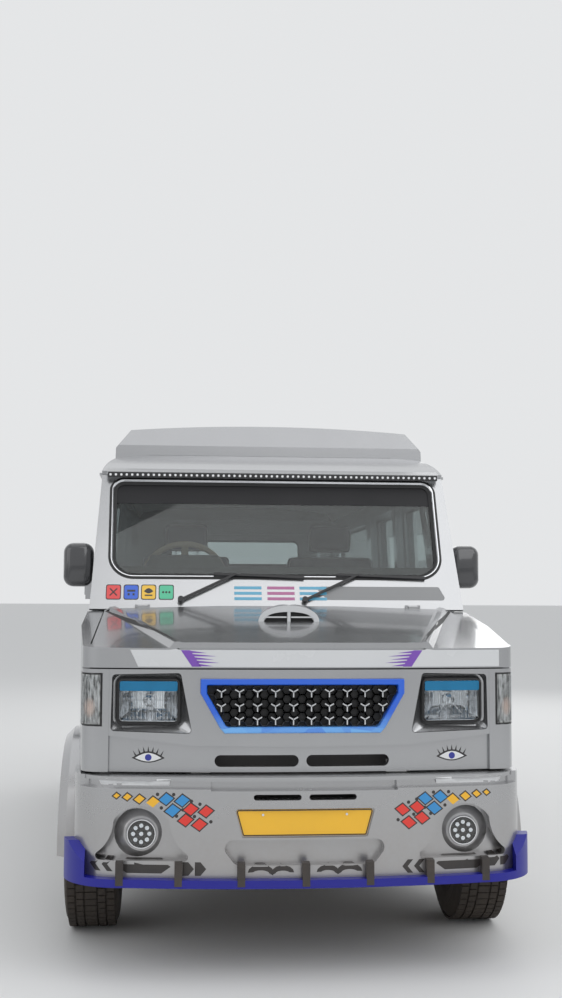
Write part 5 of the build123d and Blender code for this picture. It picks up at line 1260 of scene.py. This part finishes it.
rake = 0.4857
rakeLength = math.hypot(1, rake)
screenOrigin = Vector((0, at(1110), 1.420))
screenAxes = (Vector((1, 0, 0)), Vector((0, rake, 1)) / rakeLength, Vector((0, -1, rake)) / rakeLength)
backAxes = (Vector((-1, 0, 0)), Vector((0, 0, 1)), Vector((0, 1, 0)))
sideLean = math.atan2(0.033, 0.635)
sideAxes = {}
for side, sideName in sides:
    upward = Vector((-side * math.sin(sideLean), 0, math.cos(sideLean)))
    outward = Vector((side * math.cos(sideLean), 0, math.sin(sideLean)))
    sideAxes[side] = (Vector((0, 1, 0)), upward, outward)
seals = {
    "screen": sealSection(0.016, 0.020, 0.014), "side": sealSection(0.032, 0.012, 0.008),
    "tail": sealSection(0.018, 0.014, 0.010),
    "bead": (
        (-0.007, 0.0145), (-0.0045, 0.0185), (-0.001, 0.0215), (0.002, 0.0215), (0.002, 0.017),
        (-0.004, 0.012),
    ),
}
for solid in islands("fixed_glass"):
    middle = middleOf(solid)
    if abs(middle.x) < 0.3:
        screenPane = sealGlass("windscreenRubber", solid, screenAxes, seals["screen"], "root", screenOrigin)
        screenOutline, screenOuter = screenPane
        sealPiece("windscreenBead", screenOutline, screenOrigin, screenAxes, screenOuter,
                  seals["bead"], "root", brightMetal)
    else:
        side, sideName = sides[0] if middle.x > 0 else sides[1]
        sealGlass("quarterSeal" + sideName, solid, sideAxes[side], seals["side"], "root")
for door in ("front", "rear"):
    for side, sideName in doorSides:
        for solid in islands(door + "_glass_" + sideName):
            body = door + "_door_" + sideName
            sealGlass(door + "DoorSeal_" + sideName, solid, sideAxes[side], seals["side"], body)
for solid in islands("tail_glass"):
    sealGlass("tailSeal", solid, backAxes, seals["tail"], "tail_door")

# Dark film along the top of the windscreen
filmDrop = 0.118


def clippedAbove(outline, level):
    kept = []
    for index, point in enumerate(outline):
        before = outline[index - 1]
        if (before[1] > level) != (point[1] > level):
            share = (level - before[1]) / (point[1] - before[1])
            kept.append((before[0] + share * (point[0] - before[0]), level))
        if point[1] > level:
            kept.append(point)
    return kept


def screenPlace(u, v, depth):
    uAxis, vAxis, nAxis = screenAxes
    return screenOrigin + uAxis * u + vAxis * v + nAxis * depth


filmOutline = clippedAbove(screenOutline, max(v for u, v in screenOutline) - filmDrop)
film = [(addPrism, filmOutline, screenPlace, screenOuter + 0.0003, screenOuter - 0.0001)]
shapePiece("screenFilm", "root", screenFilm, film)

# Visor over the windscreen: a dark strip with a row of small white diodes
visor = {
    "half": 0.785, "foot": 1.9120, "top": 1.9370, "radius": 0.003, "depths": (-0.0030, 0.0002), "ray": 1.932,
    "diodes": 62, "margin": 0.012, "diodeDepth": -0.0035, "diodeRadius": 0.0058, "diodeHeight": 0.004,
}
visorY = surfaceTree("roof").ray_cast(Vector((0, -5, visor["ray"])), forwards)[0].y
visorPlace = frontPlace(0, visorY, 0)
visorMiddle = (visor["foot"] + visor["top"]) / 2
strip = rectangle((0, visorMiddle), (visor["half"] * 2, visor["top"] - visor["foot"]), visor["radius"], 2)
stripShape = [(addPrism, strip, visorPlace, *visor["depths"])]
shapePiece("visorStrip", "root", blackPlastic, stripShape)
diodes = []
for index in range(visor["diodes"]):
    u = (visor["half"] - visor["margin"]) * (2 * index / (visor["diodes"] - 1) - 1)
    diodes.append(visorPlace(u, visorMiddle, visor["diodeDepth"]))
repeatPiece("visorDiodes", "root", vinyl["white"], "black_plastic", "pin", diodes,
            Radius=visor["diodeRadius"], Depth=visor["diodeHeight"])
print("panes and visor set")

# Door mirrors: dark glossy shells with a glass at the back
doorMirror = {
    "x": 0.915, "station": 1330, "z": 1.500, "size": (0.134, 0.200), "radius": 0.044, "front": -0.041,
    "back": 0.041, "glassInset": -0.008, "glassDepths": (0.0018, 0.0004),
    "frontSteps": ((-0.026, -0.0015), (-0.014, 0.004), (-0.004, 0.015), (0.0015, 0.030)),
    "backSteps": ((0.002, -0.010), (0.0015, 0.001), (-0.004, 0.003), (-0.007, 0.0008)),
}
mirrorSteps = [(amount, doorMirror["front"] + depth) for amount, depth in doorMirror["frontSteps"]]
mirrorSteps += [(amount, doorMirror["back"] + depth) for amount, depth in doorMirror["backSteps"]]
for side, sideName in doorSides:
    body = "front_door_" + sideName
    outline = rectangle((0, 0), doorMirror["size"], doorMirror["radius"], 6)
    place = frontPlace(side * doorMirror["x"], at(doorMirror["station"]), doorMirror["z"])
    rows = grownRows(outline, mirrorSteps)
    loftPiece("mirrorShell_" + sideName, body, darkShell, place, rows, False)
    near, far = (doorMirror["back"] + depth for depth in doorMirror["glassDepths"])
    pane = [(addPrism, grown(outline, doorMirror["glassInset"]), place, near, far)]
    shapePiece("mirrorGlass_" + sideName, body, mirrorGlass, pane)

# Door grips
grip = {
    "low": 1.1385, "high": 1.1675, "length": 0.133, "radius": 0.010, "rearGap": 0.127, "ray": 1.25,
    "foot": 0.0165, "shoulder": 0.0275, "face": 0.031, "faceInset": -0.004,
    "stations": {"front": 2.175, "rear": 3.029},
}
gripSize = (grip["length"], grip["high"] - grip["low"])
gripOutline = rectangle((0, (grip["low"] + grip["high"]) / 2), gripSize, grip["radius"])
gripFace = grown(gripOutline, grip["faceInset"])
gripRows = [(gripOutline, grip["foot"]), (gripOutline, grip["shoulder"]), (gripFace, grip["face"])]
for door, rearStation in grip["stations"].items():
    for side, sideName in doorSides:
        body = door + "_door_" + sideName
        y = noseY + rearStation - grip["rearGap"]
        skin = surfaceTree(body).ray_cast(Vector((side * 2, y, grip["ray"])), Vector((-side, 0, 0)))[0]
        place = sidePlace(skin.x, y, 0, side)
        loftPiece(door + "DoorGrip_" + sideName, body, blackPlastic, place, gripRows, False)
print("mirrors and grips set")

# Corner lamp gaskets and ribs, draped on the lamps from the front and from the sides
cornerSkin = surfaceTree("front_lamps")
cornerMiddle = (cornerLamp["low"] + cornerLamp["high"]) / 2
cornerHeight = cornerLamp["high"] - cornerLamp["low"]
frontRibs = evenly(*cornerLamp["frontRibs"])
sideRibs = [at(station) for station in evenly(*cornerLamp["sideRibs"])]
lampFaces = (
    # views, edge of the gasket, other end of the face, rib places
    (("front",), cornerLamp["inner"], cornerLamp["outer"], frontRibs),
    (("left", "right"), at(cornerLamp["rear"]), at(cornerLamp["front"]), sideRibs),
)
gasketShapes, ribShapes = [], []
for views, edge, end, ribPlaces in lampFaces:
    width = cornerLamp["gasketWidth"]
    ribSize = (cornerLamp["ribWidth"], cornerHeight - cornerLamp["ribMargin"])
    gaskets = [rectangle((edge, cornerMiddle), (width, cornerHeight + width))]
    for level in (cornerLamp["low"], cornerLamp["high"]):
        gaskets.append(rectangle(((edge + end) / 2, level), (abs(end - edge), width)))
    ribs = [rectangle((place, cornerMiddle), ribSize) for place in ribPlaces]
    for view in views:
        for shapes, outlines, lift in ((gasketShapes, gaskets, "gasketLift"), (ribShapes, ribs, "ribLift")):
            laid = both(outlines) if view == "front" else outlines
            shapes.append((addDrape, laid, cornerSkin, view, 0.03, cornerLamp[lift]))
shapePiece("cornerGaskets", "root", blackRubber, gasketShapes)
shapePiece("cornerRibs", "root", lampGlass, ribShapes)

# Bonnet: dark shut lines beside the raised middle, drawn wide to carry painted shadow beside them, and the
# scoop's pale lip, dark mouth of painted shade and slats
bulge = {"front": (0.4575, 26), "rear": (0.7790, 1010), "width": 0.014}
scoop = {
    "half": 0.1265, "low": 1.2425, "high": 1.3165, "station": 560, "mouthHalf": 0.1035, "mouthLow": 1.2505,
    "mouthHigh": 1.2895, "mouthDepths": (0.020, 0.024),
    "slats": ((-0.054, 1.2685), (0.054, 1.2685)), "slatSize": (0.090, 0.006), "slatRadius": 0.0015,
    "slatDepths": (-0.001, 0.020), "post": (0, 1.2700), "postSize": (0.013, 0.040),
    "postDepths": (-0.0015, 0.020),
}
(frontU, frontStation), (rearU, rearStation) = bulge["front"], bulge["rear"]
# Each shut line is drawn 14 mm wide: the real gap, widened with painted shadow along the raised middle
shutLineAndShadow = [
    (frontU, at(frontStation)), (rearU, at(rearStation)),
    (rearU - bulge["width"], at(rearStation)), (frontU - bulge["width"], at(frontStation)),
]
drapePiece("bonnetShutLinesAndShadow", both([shutLineAndShadow]), bonnetSkin, "bonnet", blackRubber, "black_plastic",
           view="top", lift=0.0008)


def archOutline(half, low, high, count=16):
    turns = [math.pi * step / count for step in range(count + 1)]
    return [(half * math.cos(turn), low + (high - low) * math.sin(turn) ** 0.8) for turn in turns]


scoopPlace = frontPlace(0, at(scoop["station"]), 0)
scoopFace = archOutline(scoop["half"], scoop["low"], scoop["high"])
mouth = archOutline(scoop["mouthHalf"], scoop["mouthLow"], scoop["mouthHigh"])
loftPiece("scoopLip", "bonnet", bandPaint, scoopPlace, [
    (scoopFace, 0.002), (scoopFace, -0.002), (grown(mouth, 0.001), -0.002), (grown(mouth, 0.0), 0.006),
])
# Dark block set inside the mouth: painted shade of the scoop's opening
mouthShade = [(addPrism, mouth, scoopPlace, *scoop["mouthDepths"])]
shapePiece("scoopMouthShade", "bonnet", blackRubber, mouthShade)
slats = []
for middle in scoop["slats"]:
    slat = rectangle(middle, scoop["slatSize"], scoop["slatRadius"], 2)
    slats.append((addPrism, slat, scoopPlace, *scoop["slatDepths"]))
slats.append((addPrism, rectangle(scoop["post"], scoop["postSize"]), scoopPlace, *scoop["postDepths"]))
shapePiece("scoopSlats", "bonnet", bandPaint, slats)
print("bonnet set")

# Wheels: ribbed tyres with tread blocks, nuts and hub caps
tyreHalf = (
    # radius and half width, from the rim to the tread
    (0.1850, 0.0790), (0.1985, 0.0805), (0.2030, 0.0850), (0.2110, 0.0930), (0.2330, 0.1020),
    (0.2345, 0.1035), (0.2395, 0.1035), (0.2410, 0.1025), (0.2600, 0.1066), (0.2890, 0.1073),
    (0.2905, 0.1062), (0.2960, 0.1062), (0.2975, 0.1064), (0.3150, 0.1035), (0.3280, 0.0975),
    (0.3385, 0.0900), (0.3430, 0.0800), (0.3440, 0.0600),
)
wheel = {
    "rows": (
        # place across the tyre, width, turn as a share of one block
        (-0.0775, 0.029, 0), (-0.0425, 0.027, 0.5), (0, 0.044, 0), (0.0425, 0.027, 0), (0.0775, 0.029, 0.5),
    ),
    "blocks": 62, "blockGap": 0.006, "blockHeight": 0.0088, "blockRadius": 0.3467, "radius": 0.3505,
    "tyreSteps": 72, "nuts": 5, "nutRing": 0.046, "nutDepth": 0.034, "nutRadius": 0.0105,
    "nutHeight": 0.016, "nutStart": 18,
    "hubCap": ((0, 0.060), (0.012, 0.0595), (0.021, 0.056), (0.0265, 0.048), (0.0275, 0.0335), (0, 0.0335)),
    "rimEdge": (
        (0.1855, 0.0872), (0.1855, 0.09), (0.196, 0.09), (0.1988, 0.0878), (0.1988, 0.0872), (0.1855, 0.0872),
    ),
    "x": 0.785, "z": 0.3515, "stations": {"front": 780, "rear": 3830},
}
tyreProfile = list(tyreHalf) + [(radius, -width) for radius, width in reversed(tyreHalf)]
tyreProfile.append(tyreProfile[0])
blockLength = 2 * math.pi * wheel["radius"] / wheel["blocks"] - wheel["blockGap"]


def addTread(mesh, place):
    # Rows of blocks round the tyre
    for width, breadth, offset in wheel["rows"]:
        start = 2 * math.pi * offset / wheel["blocks"]
        ring = ringPoints(wheel["blockRadius"], wheel["blocks"], width, start)
        sizes = {"Height": wheel["blockHeight"], "Length": blockLength, "Width": breadth}
        blocks = repeatMesh("treadRing", "block", ring, tyreRubber, **sizes)
        before = len(mesh.verts)
        mesh.from_mesh(blocks)
        mesh.verts.ensure_lookup_table()
        for vertex in mesh.verts[before:]:
            vertex.co = place(*vertex.co)
        bpy.data.meshes.remove(blocks)


for axle, station in wheel["stations"].items():
    for side, sideName in doorSides:
        name = axle + "_" + sideName
        body = "wheel_" + name
        place = sidePlace(side * wheel["x"], at(station), wheel["z"], side)
        tyreShapes = [(addLathe, tyreProfile, place, wheel["tyreSteps"]), (addTread, place)]
        shapePiece("tyreBody_" + name, body, tyreRubber, tyreShapes, ("tyre_" + name,))
        nuts = ringPoints(wheel["nutRing"], wheel["nuts"], wheel["nutDepth"], math.radians(wheel["nutStart"]))
        sizes = {"Radius": wheel["nutRadius"], "Depth": wheel["nutHeight"]}
        data = repeatMesh("wheelNuts_" + name, "nut", nuts, brightMetal, **sizes)
        for vertex in data.vertices:
            vertex.co = place(*vertex.co)
        if side < 0:
            data.flip_normals()
        placePiece("wheelNuts_" + name, data, body, brightMetal)
        for cover, finish, steps in (("hubCap", blackPlastic, 28), ("rimEdge", brightMetal, 48)):
            turned = [(addLathe, wheel[cover], place, steps)]
            shapePiece(cover + "_" + name, body, finish, turned)
print("wheels set")

# Seats: crowned pads with sewn channels and piping, on plain bases
padLook = {
    "cuts": 22, "crown": 0.018, "swellSink": 0.45, "radius": 0.035, "pull": 0.006, "channelHalf": 0.0065,
    "channelDepth": 0.010, "pipingInset": 0.018, "pipingCorner": 0.045, "pipingRadius": 0.0035,
}


def padAxes(size):
    # Thin axis of a pad and its two broad ones
    flatAxis = min(range(3), key=lambda axis: size[axis])
    return flatAxis, [axis for axis in range(3) if axis != flatAxis]


def padTurn(turn, middle):
    return Matrix.Translation(middle) @ Matrix.Rotation(math.radians(turn), 4, "X")


def padMesh(name, size, turn, middle, channels):
    # Rounded cushion whose faces swell and whose sides pull in between its corners
    mesh = bmesh.new()
    bmesh.ops.create_cube(mesh, size=2.0)
    bmesh.ops.subdivide_edges(mesh, edges=mesh.edges[:], cuts=padLook["cuts"], use_grid_fill=True)
    half = Vector(size) / 2
    flatAxis, (first, second) = padAxes(size)
    radius = min(padLook["radius"], half[flatAxis] * 0.95)
    for vertex in mesh.verts:
        share = vertex.co.copy()
        point = Vector([share[axis] * half[axis] for axis in range(3)])
        core = Vector([max(-half[axis] + radius, min(half[axis] - radius, point[axis])) for axis in range(3)])
        away = point - core
        point = core + away.normalized() * radius if away.length > 1e-9 else point
        swell = (1 - share[first] ** 2) * (1 - share[second] ** 2)
        point[flatAxis] += share[flatAxis] * padLook["crown"] * (swell - padLook["swellSink"])
        for axis, other in ((first, second), (second, first)):
            point[axis] -= share[axis] * padLook["pull"] * (1 - share[other] ** 4) * abs(share[axis])
        for channel in channels:
            dip = math.exp(-((point[0] - channel) / padLook["channelHalf"]) ** 2)
            point[flatAxis] -= share[flatAxis] * padLook["channelDepth"] * dip
        vertex.co = point
    mesh.transform(padTurn(turn, middle))
    return finishMesh(mesh, name, 60)


def pipingMesh(name, size, turn, middle):
    # Piping round both broad faces of a pad
    flatAxis, (first, second) = padAxes(size)
    inset, radius = padLook["pipingInset"], padLook["pipingRadius"]
    outline = rectangle((0, 0), (size[first] - inset, size[second] - inset), padLook["pipingCorner"], 6)
    section = circle((0, 0), radius, 8)
    up = Vector()
    up[flatAxis] = 1
    mesh = bmesh.new()
    for face in (1, -1):
        path = []
        for u, v in outline:
            point = up * face * (size[flatAxis] / 2 - inset)
            point[first], point[second] = u, v
            path.append(point)
        addSweep(mesh, path, section, up)
    mesh.transform(padTurn(turn, middle))
    return finishMesh(mesh, name)


seats = {
    "x": 0.4, "cushionChannels": (-0.115, 0.0, 0.115), "backChannels": (-0.115, 0.115),
    "benchChannels": (-0.43, -0.215, 0.0, 0.215, 0.43), "sideSeat": 0.535, "sideBack": 0.702,
    # bases and posts: spans across, of stations and of heights
    "frontBase": ((0.212, 0.588), (1862, 2320), (0.6505, 0.930)),
    "middleBase": ((0.232, 0.608), (2792, 3150), (0.6505, 0.930)),
    "sideBase": ((0.441, 0.544), (3520, 4740), (0.6505, 0.945)),
    "posts": (((0.334, 0.346), (2383, 2395), (1.540, 1.630)), ((0.454, 0.466), (2383, 2395), (1.540, 1.630))),
}
cushion, backrest, bench = seats["cushionChannels"], seats["backChannels"], seats["benchChannels"]
frontNode, rearNode = "front_seats", "rear_seats"
pads = []
for side, sideName in sides:
    u = side * seats["x"]
    pads += [
        # name, size, turn, middle, channels, node, fill
        ("frontCushion" + sideName, (0.490, 0.460, 0.125), -4, (u, at(2030), 0.985), cushion, frontNode, 0.7),
        ("frontBackrest" + sideName, (0.48, 0.112, 0.58), -9, (u, at(2352), 1.29), backrest, frontNode, 0.7),
        ("frontHeadrest" + sideName, (0.245, 0.085, 0.155), -4, (u, at(2396), 1.680), (), frontNode, 0.8),
    ]
pads += [
    ("middleCushion", (1.300, 0.400, 0.120), -4, (0, at(2915), 0.985), bench, rearNode, 0.6),
    ("middleBackrest", (1.300, 0.105, 0.580), -6, (0, at(3185), 1.275), bench, rearNode, 0.6),
]
for side, sideName in sides:
    seatX, backX = side * seats["sideSeat"], side * seats["sideBack"]
    pads += [
        ("sideCushion" + sideName, (0.225, 1.270, 0.115), 0, (seatX, at(4130), 0.998), (), rearNode, 0.6),
        ("sideBackrest" + sideName, (0.062, 1.270, 0.240), 0, (backX, at(4130), 1.165), (), rearNode, 0.6),
    ]
for name, size, turn, middle, channels, node, fill in pads:
    data = padMesh(name, size, turn, middle, channels)
    pad = placePiece(name, data, "root", seatCloth, (node,))
    piping = pipingMesh(name, size, turn, middle)
    placePiece(name + "Piping", piping, "root", seatPiping, (node,))
seatParts = (
    # name, finish, places of boxes, bevel, node
    ("frontSeatBases", greyTrim, (seats["frontBase"],), 0.006, frontNode),
    ("headrestPosts", brightMetal, seats["posts"], 0.0025, frontNode),
    ("benchBases", greyTrim, (seats["middleBase"], seats["sideBase"]), 0.006, rearNode),
)
for name, finish, places, bevel, node in seatParts:
    boxes = [sideBox(side, *place) for place in places for side, sideName in sides]
    boxPiece(name, "root", finish, boxes, bevel, (node,))
print("seats set")

# Dashboard: hood over two dials, centre panel with knobs, locker lid and vents
dash = {
    "hood": ((1.262, 1.484), (1.285, 1.532), (1.335, 1.548), (1.380, 1.540), (1.396, 1.455), (1.372, 1.440)),
    "hoodCore": (1.330, 1.470), "hoodX": -0.420, "hoodEnds": (0.155, 0.190), "dials": (-0.485, -0.355),
    "dialProfile": (
        (0, 0.0035), (0.034, 0.0035), (0.036, 0.006), (0.039, 0.006), (0.041, 0), (0.041, -0.006),
        (0, -0.006),
    ),
    "dialStation": 1389, "dialHeight": 1.500, "dialLean": 0.19, "knobStation": 1462, "knobSize": 0.014,
    "panels": (
        ((-0.115, 0.115), (1420, 1456), (1.165, 1.392)), ((0.235, 0.600), (1418, 1448), (1.205, 1.375)),
        ((-0.100, 0.100), (1454, 1460), (1.330, 1.380)),
    ),
}
hoodU, hoodV = dash["hoodCore"]
hoodEnd = [(hoodU + 0.45 * (u - hoodU), hoodV + 0.3 * (v - hoodV)) for u, v in dash["hood"]]
near, far = dash["hoodEnds"]
hoodRows = [(hoodEnd, -far), (dash["hood"], -near), (dash["hood"], near), (hoodEnd, far)]
hoodPlace = sidePlace(dash["hoodX"], noseY, 0)
loftPiece("dashHood", "root", dashPlastic, hoodPlace, hoodRows, False, (), 50.0)


def dialPlace(x):
    y, z, dialLean = at(dash["dialStation"]), dash["dialHeight"], dash["dialLean"]
    return lambda u, v, depth: Vector((x + u, y + depth - v * dialLean, z + v))


dials = [(addLathe, dash["dialProfile"], dialPlace(x)) for x in dash["dials"]]
shapePiece("dashDials", "root", blackPlastic, dials)
panels = [sideBox(1, *place) for place in dash["panels"]]
boxPiece("dashPanels", "root", greyTrim, panels, 0.004)
knobs = [Vector((u, at(dash["knobStation"]), v)) for u in (-0.07, 0.0, 0.07) for v in (1.205, 1.275)]
repeatPiece("dashKnobs", "root", blackPlastic, "dash_plastic", "pin", knobs,
            Radius=dash["knobSize"], Depth=dash["knobSize"])

# Roof lining and door cards
lining = {
    "half": ((0.742, 1.932), (0.700, 1.995), (0.600, 2.014), (0.350, 2.034), (0.0, 2.046)), "thick": 0.005,
    "narrow": 0.995, "stations": (1810, 4840),
}
under = [(-u, v) for u, v in lining["half"]] + [(u, v) for u, v in reversed(lining["half"][:-1])]
liningOutline = under + [(u * lining["narrow"], v - lining["thick"]) for u, v in reversed(under)]
liningEnds = [at(station) for station in lining["stations"]]
liningShape = [(addPrism, liningOutline, frontPlace(0, 0, 0), *liningEnds)]
shapePiece("roofLining", "root", roofCloth, liningShape)
card = {
    "doors": {"front": (1385, 2105), "rear": (2260, 2960)}, "z": 0.905, "height": 0.720, "radius": 0.05,
    "rest": (0.420, 0.050), "restShift": 0.02, "restHeight": 0.985, "tail": (0.980, 0.620),
    "tailHeight": 0.960,
}
for door, (frontEdge, rearEdge) in card["doors"].items():
    for side, sideName in doorSides:
        body = door + "_door_" + sideName
        middle = at((frontEdge + rearEdge) / 2)
        panelSize = ((rearEdge - frontEdge) / 1000, card["height"])
        panel = rectangle((middle, card["z"]), panelSize, card["radius"])
        rest = rectangle((middle + card["restShift"], card["restHeight"]), card["rest"], 0.02)
        laid = (("doorCard_", panel, greyTrim, 0.004), ("armRest_", rest, dashPlastic, 0.040))
        for name, outline, finish, lift in laid:
            drapePiece(name + body, [outline], surfaceTree(body), body, finish, "dash_plastic",
                       view="inside" + sideName.capitalize(), step=0.12, lift=lift)
tailCard = rectangle((0, card["tailHeight"]), card["tail"], card["radius"])
drapePiece("tailCard", [tailCard], surfaceTree("tail_door"), "tail_door", greyTrim, "dash_plastic",
           view="insideTail", step=0.2, lift=0.004)
print("cabin set")

# Rear: three-part lamps, blank plate, reflectors and marker lamps
tailLamp = {
    "across": (0.6455, 0.7155), "heights": (1.0205, 1.2895), "stations": (4914, 4954),
    "lensAcross": (0.6505, 0.7105), "lensStations": (4940, 4963),
    "lenses": {
        "Red": ((1.168, 1.284), redLens), "Amber": ((1.092, 1.162), amberLens),
        "Clear": ((1.026, 1.086), ribbedGlass),
    },
}
for side, sideName in sides:
    housing = [sideBox(side, tailLamp["across"], tailLamp["stations"], tailLamp["heights"])]
    boxPiece("tailHousing" + sideName, "root", blackPlastic, housing, 0.002, ("tail_lamps",))
    for name, (heights, finish) in tailLamp["lenses"].items():
        cover = [sideBox(side, tailLamp["lensAcross"], tailLamp["lensStations"], heights)]
        boxPiece("tailLens" + name + sideName, "root", finish, cover, 0.005, ("tail_lamps",))
rear = {
    "plate": (0.340, 0.200), "plateRadius": 0.012, "edge": (0.336, 0.196), "edgeRadius": 0.011,
    "plateHeight": 0.930, "plateStation": 4952, "edgeGrowths": (0.0, -0.004),
    "edgeDepths": (0.0036, 0.0048),
    # tread lines: first place, pitch, count
    "treadLines": (-0.40, 0.020, 41), "treadStation": 4995, "treadSize": (0.008, 0.050),
    "reflector": (0.640, 0.530), "reflectorSize": (0.130, 0.036), "reflectorRadius": 0.006,
}
backSkin = surfaceTree("tail_door", "rear_frame", "rear_bumper")
rearPlate = rectangle((0, rear["plateHeight"]), rear["plate"], rear["plateRadius"])
drapePiece("rearPlate", [rearPlate], backSkin, "tail_door", vinyl["plateYellow"],
           view="back", step=0.4, lift=0.004)
rearEdge = rectangle((0, rear["plateHeight"]), rear["edge"], rear["edgeRadius"])
platePlace = frontPlace(0, at(rear["plateStation"]), 0)
rows = edgeRows(rearEdge, *rear["edgeGrowths"], rear["edgeDepths"])
loftPiece("rearPlateEdge", "tail_door", vinyl["black"], platePlace, rows)
bumperBack = surfaceTree("rear_bumper")
reflector = rectangle(rear["reflector"], rear["reflectorSize"], rear["reflectorRadius"])
drapePiece("rearReflectors", both([reflector]), bumperBack, "root", redLens, "lamp_red",
           view="back", lift=0.004)
treadY = at(rear["treadStation"])
treadLines = [rectangle((u, treadY), rear["treadSize"]) for u in evenly(*rear["treadLines"])]
drapePiece("bumperTread", treadLines, bumperBack, "root", blackRubber, "black_plastic",
           view="top", step=0.1, lift=0.003)

# Sides: marker lamps, fuel lid and mud flaps
flank = {
    "marker": (1130, 0.900), "markerRadius": 0.026, "markerSquash": 0.55, "lid": (3330, 0.930),
    "lidSize": 0.170, "lidRadius": 0.020, "lidGap": 0.003,
    "flap": ((0.700, 0.880), (4272, 4278), (0.235, 0.478)),
}
wingSkin = surfaceTree("front_wings", "body_sides")
(markerStation, markerZ), (lidStation, lidZ) = flank["marker"], flank["lid"]
marker = circle((at(markerStation), markerZ), flank["markerRadius"], 20, flank["markerSquash"])
for view in ("left", "right"):
    name = "sideMarker" + view.capitalize()
    drapePiece(name, [marker], wingSkin, "root", amberLens, "lamp_red", view=view, lift=0.007)
lid = rectangle((at(lidStation), lidZ), (flank["lidSize"], flank["lidSize"]), flank["lidRadius"])
drapePiece("fuelLidShadow", [lid], wingSkin, "root", blackRubber, "black_plastic", view="left", lift=0.0004)
drapePiece("fuelLid", [grown(lid, -flank["lidGap"])], wingSkin, "root", vanPaint, view="left", lift=0.0016)
flaps = [sideBox(side, *flank["flap"]) for side, sideName in sides]
boxPiece("mudFlaps", "root", blackRubber, flaps, 0.0015)
print("rear set")

# Floor, backdrop and light
stageLook = {
    "floor": (0.80, 0.80, 0.79), "floorRough": 0.9, "reach": 400, "backdrop": (0.78, 0.79, 0.80),
    "skyColour": (0.95, 0.97, 1.0), "sky": 0.66,
    "lamps": (
        # name, place, target, size, power
        ("keyLamp", (4.5, -8.0, 8.0), (0, -0.5, 1.0), (12, 9), 400.0),
        ("fillLamp", (-8.0, -6.5, 5.0), (0, 0, 1.0), (9, 7), 130.0),
        ("topLamp", (0, 0.5, 8.5), (0, 0.5, 0.0), (7, 10), 80.0),
        ("rearLamp", (4.0, 9.0, 6.0), (0, 1.0, 1.0), (8, 6), 150.0),
    ),
}


def makeFloor(look):
    mesh = bpy.data.meshes.new("stageFloor")
    far = look["reach"]
    mesh.from_pydata([(-far, -far, 0), (far, -far, 0), (far, far, 0), (-far, far, 0)], [], [(0, 1, 2, 3)])
    floor = bpy.data.objects.new("stageFloor", mesh)
    scene.collection.objects.link(floor)
    material, tree, shader = newMaterial("stageFloor")
    setValues(shader, {"Base Color": rgba(look["floor"]), "Roughness": look["floorRough"]})
    mesh.materials.append(material)


def makeWorld(look):
    # Soft sky for light, and a plain backdrop for what is seen directly, mirrored or through glass
    world = bpy.data.worlds.new("studio")
    scene.world = world
    world.use_nodes = True
    tree = world.node_tree
    sky = tree.nodes["Background"]
    setValues(sky, {"Color": rgba(look["skyColour"]), "Strength": look["sky"]})
    shown = addNode(tree, "ShaderNodeBackground", {"Color": rgba(look["backdrop"]), "Strength": 1.0})
    path = addNode(tree, "ShaderNodeLightPath")
    seen = mathNode(tree, "MAXIMUM", path.outputs["Is Camera Ray"], path.outputs["Is Transmission Ray"])
    seen = mathNode(tree, "MAXIMUM", seen, path.outputs["Is Glossy Ray"])
    mix = addNode(tree, "ShaderNodeMixShader", {0: seen, 1: sky.outputs[0], 2: shown.outputs[0]})
    tree.links.new(mix.outputs[0], tree.nodes["World Output"].inputs["Surface"])


def makeLamps(look):
    for name, place, target, size, power in look["lamps"]:
        data = bpy.data.lights.new(name, "AREA")
        data.energy = power
        data.shape = "RECTANGLE"
        data.size, data.size_y = size
        lamp = bpy.data.objects.new(name, data)
        scene.collection.objects.link(lamp)
        aim = (Vector(target) - Vector(place)).to_track_quat("-Z", "Y")
        lamp.matrix_world = Matrix.Translation(place) @ aim.to_matrix().to_4x4()


makeFloor(stageLook)
makeWorld(stageLook)
makeLamps(stageLook)
print("stage set")
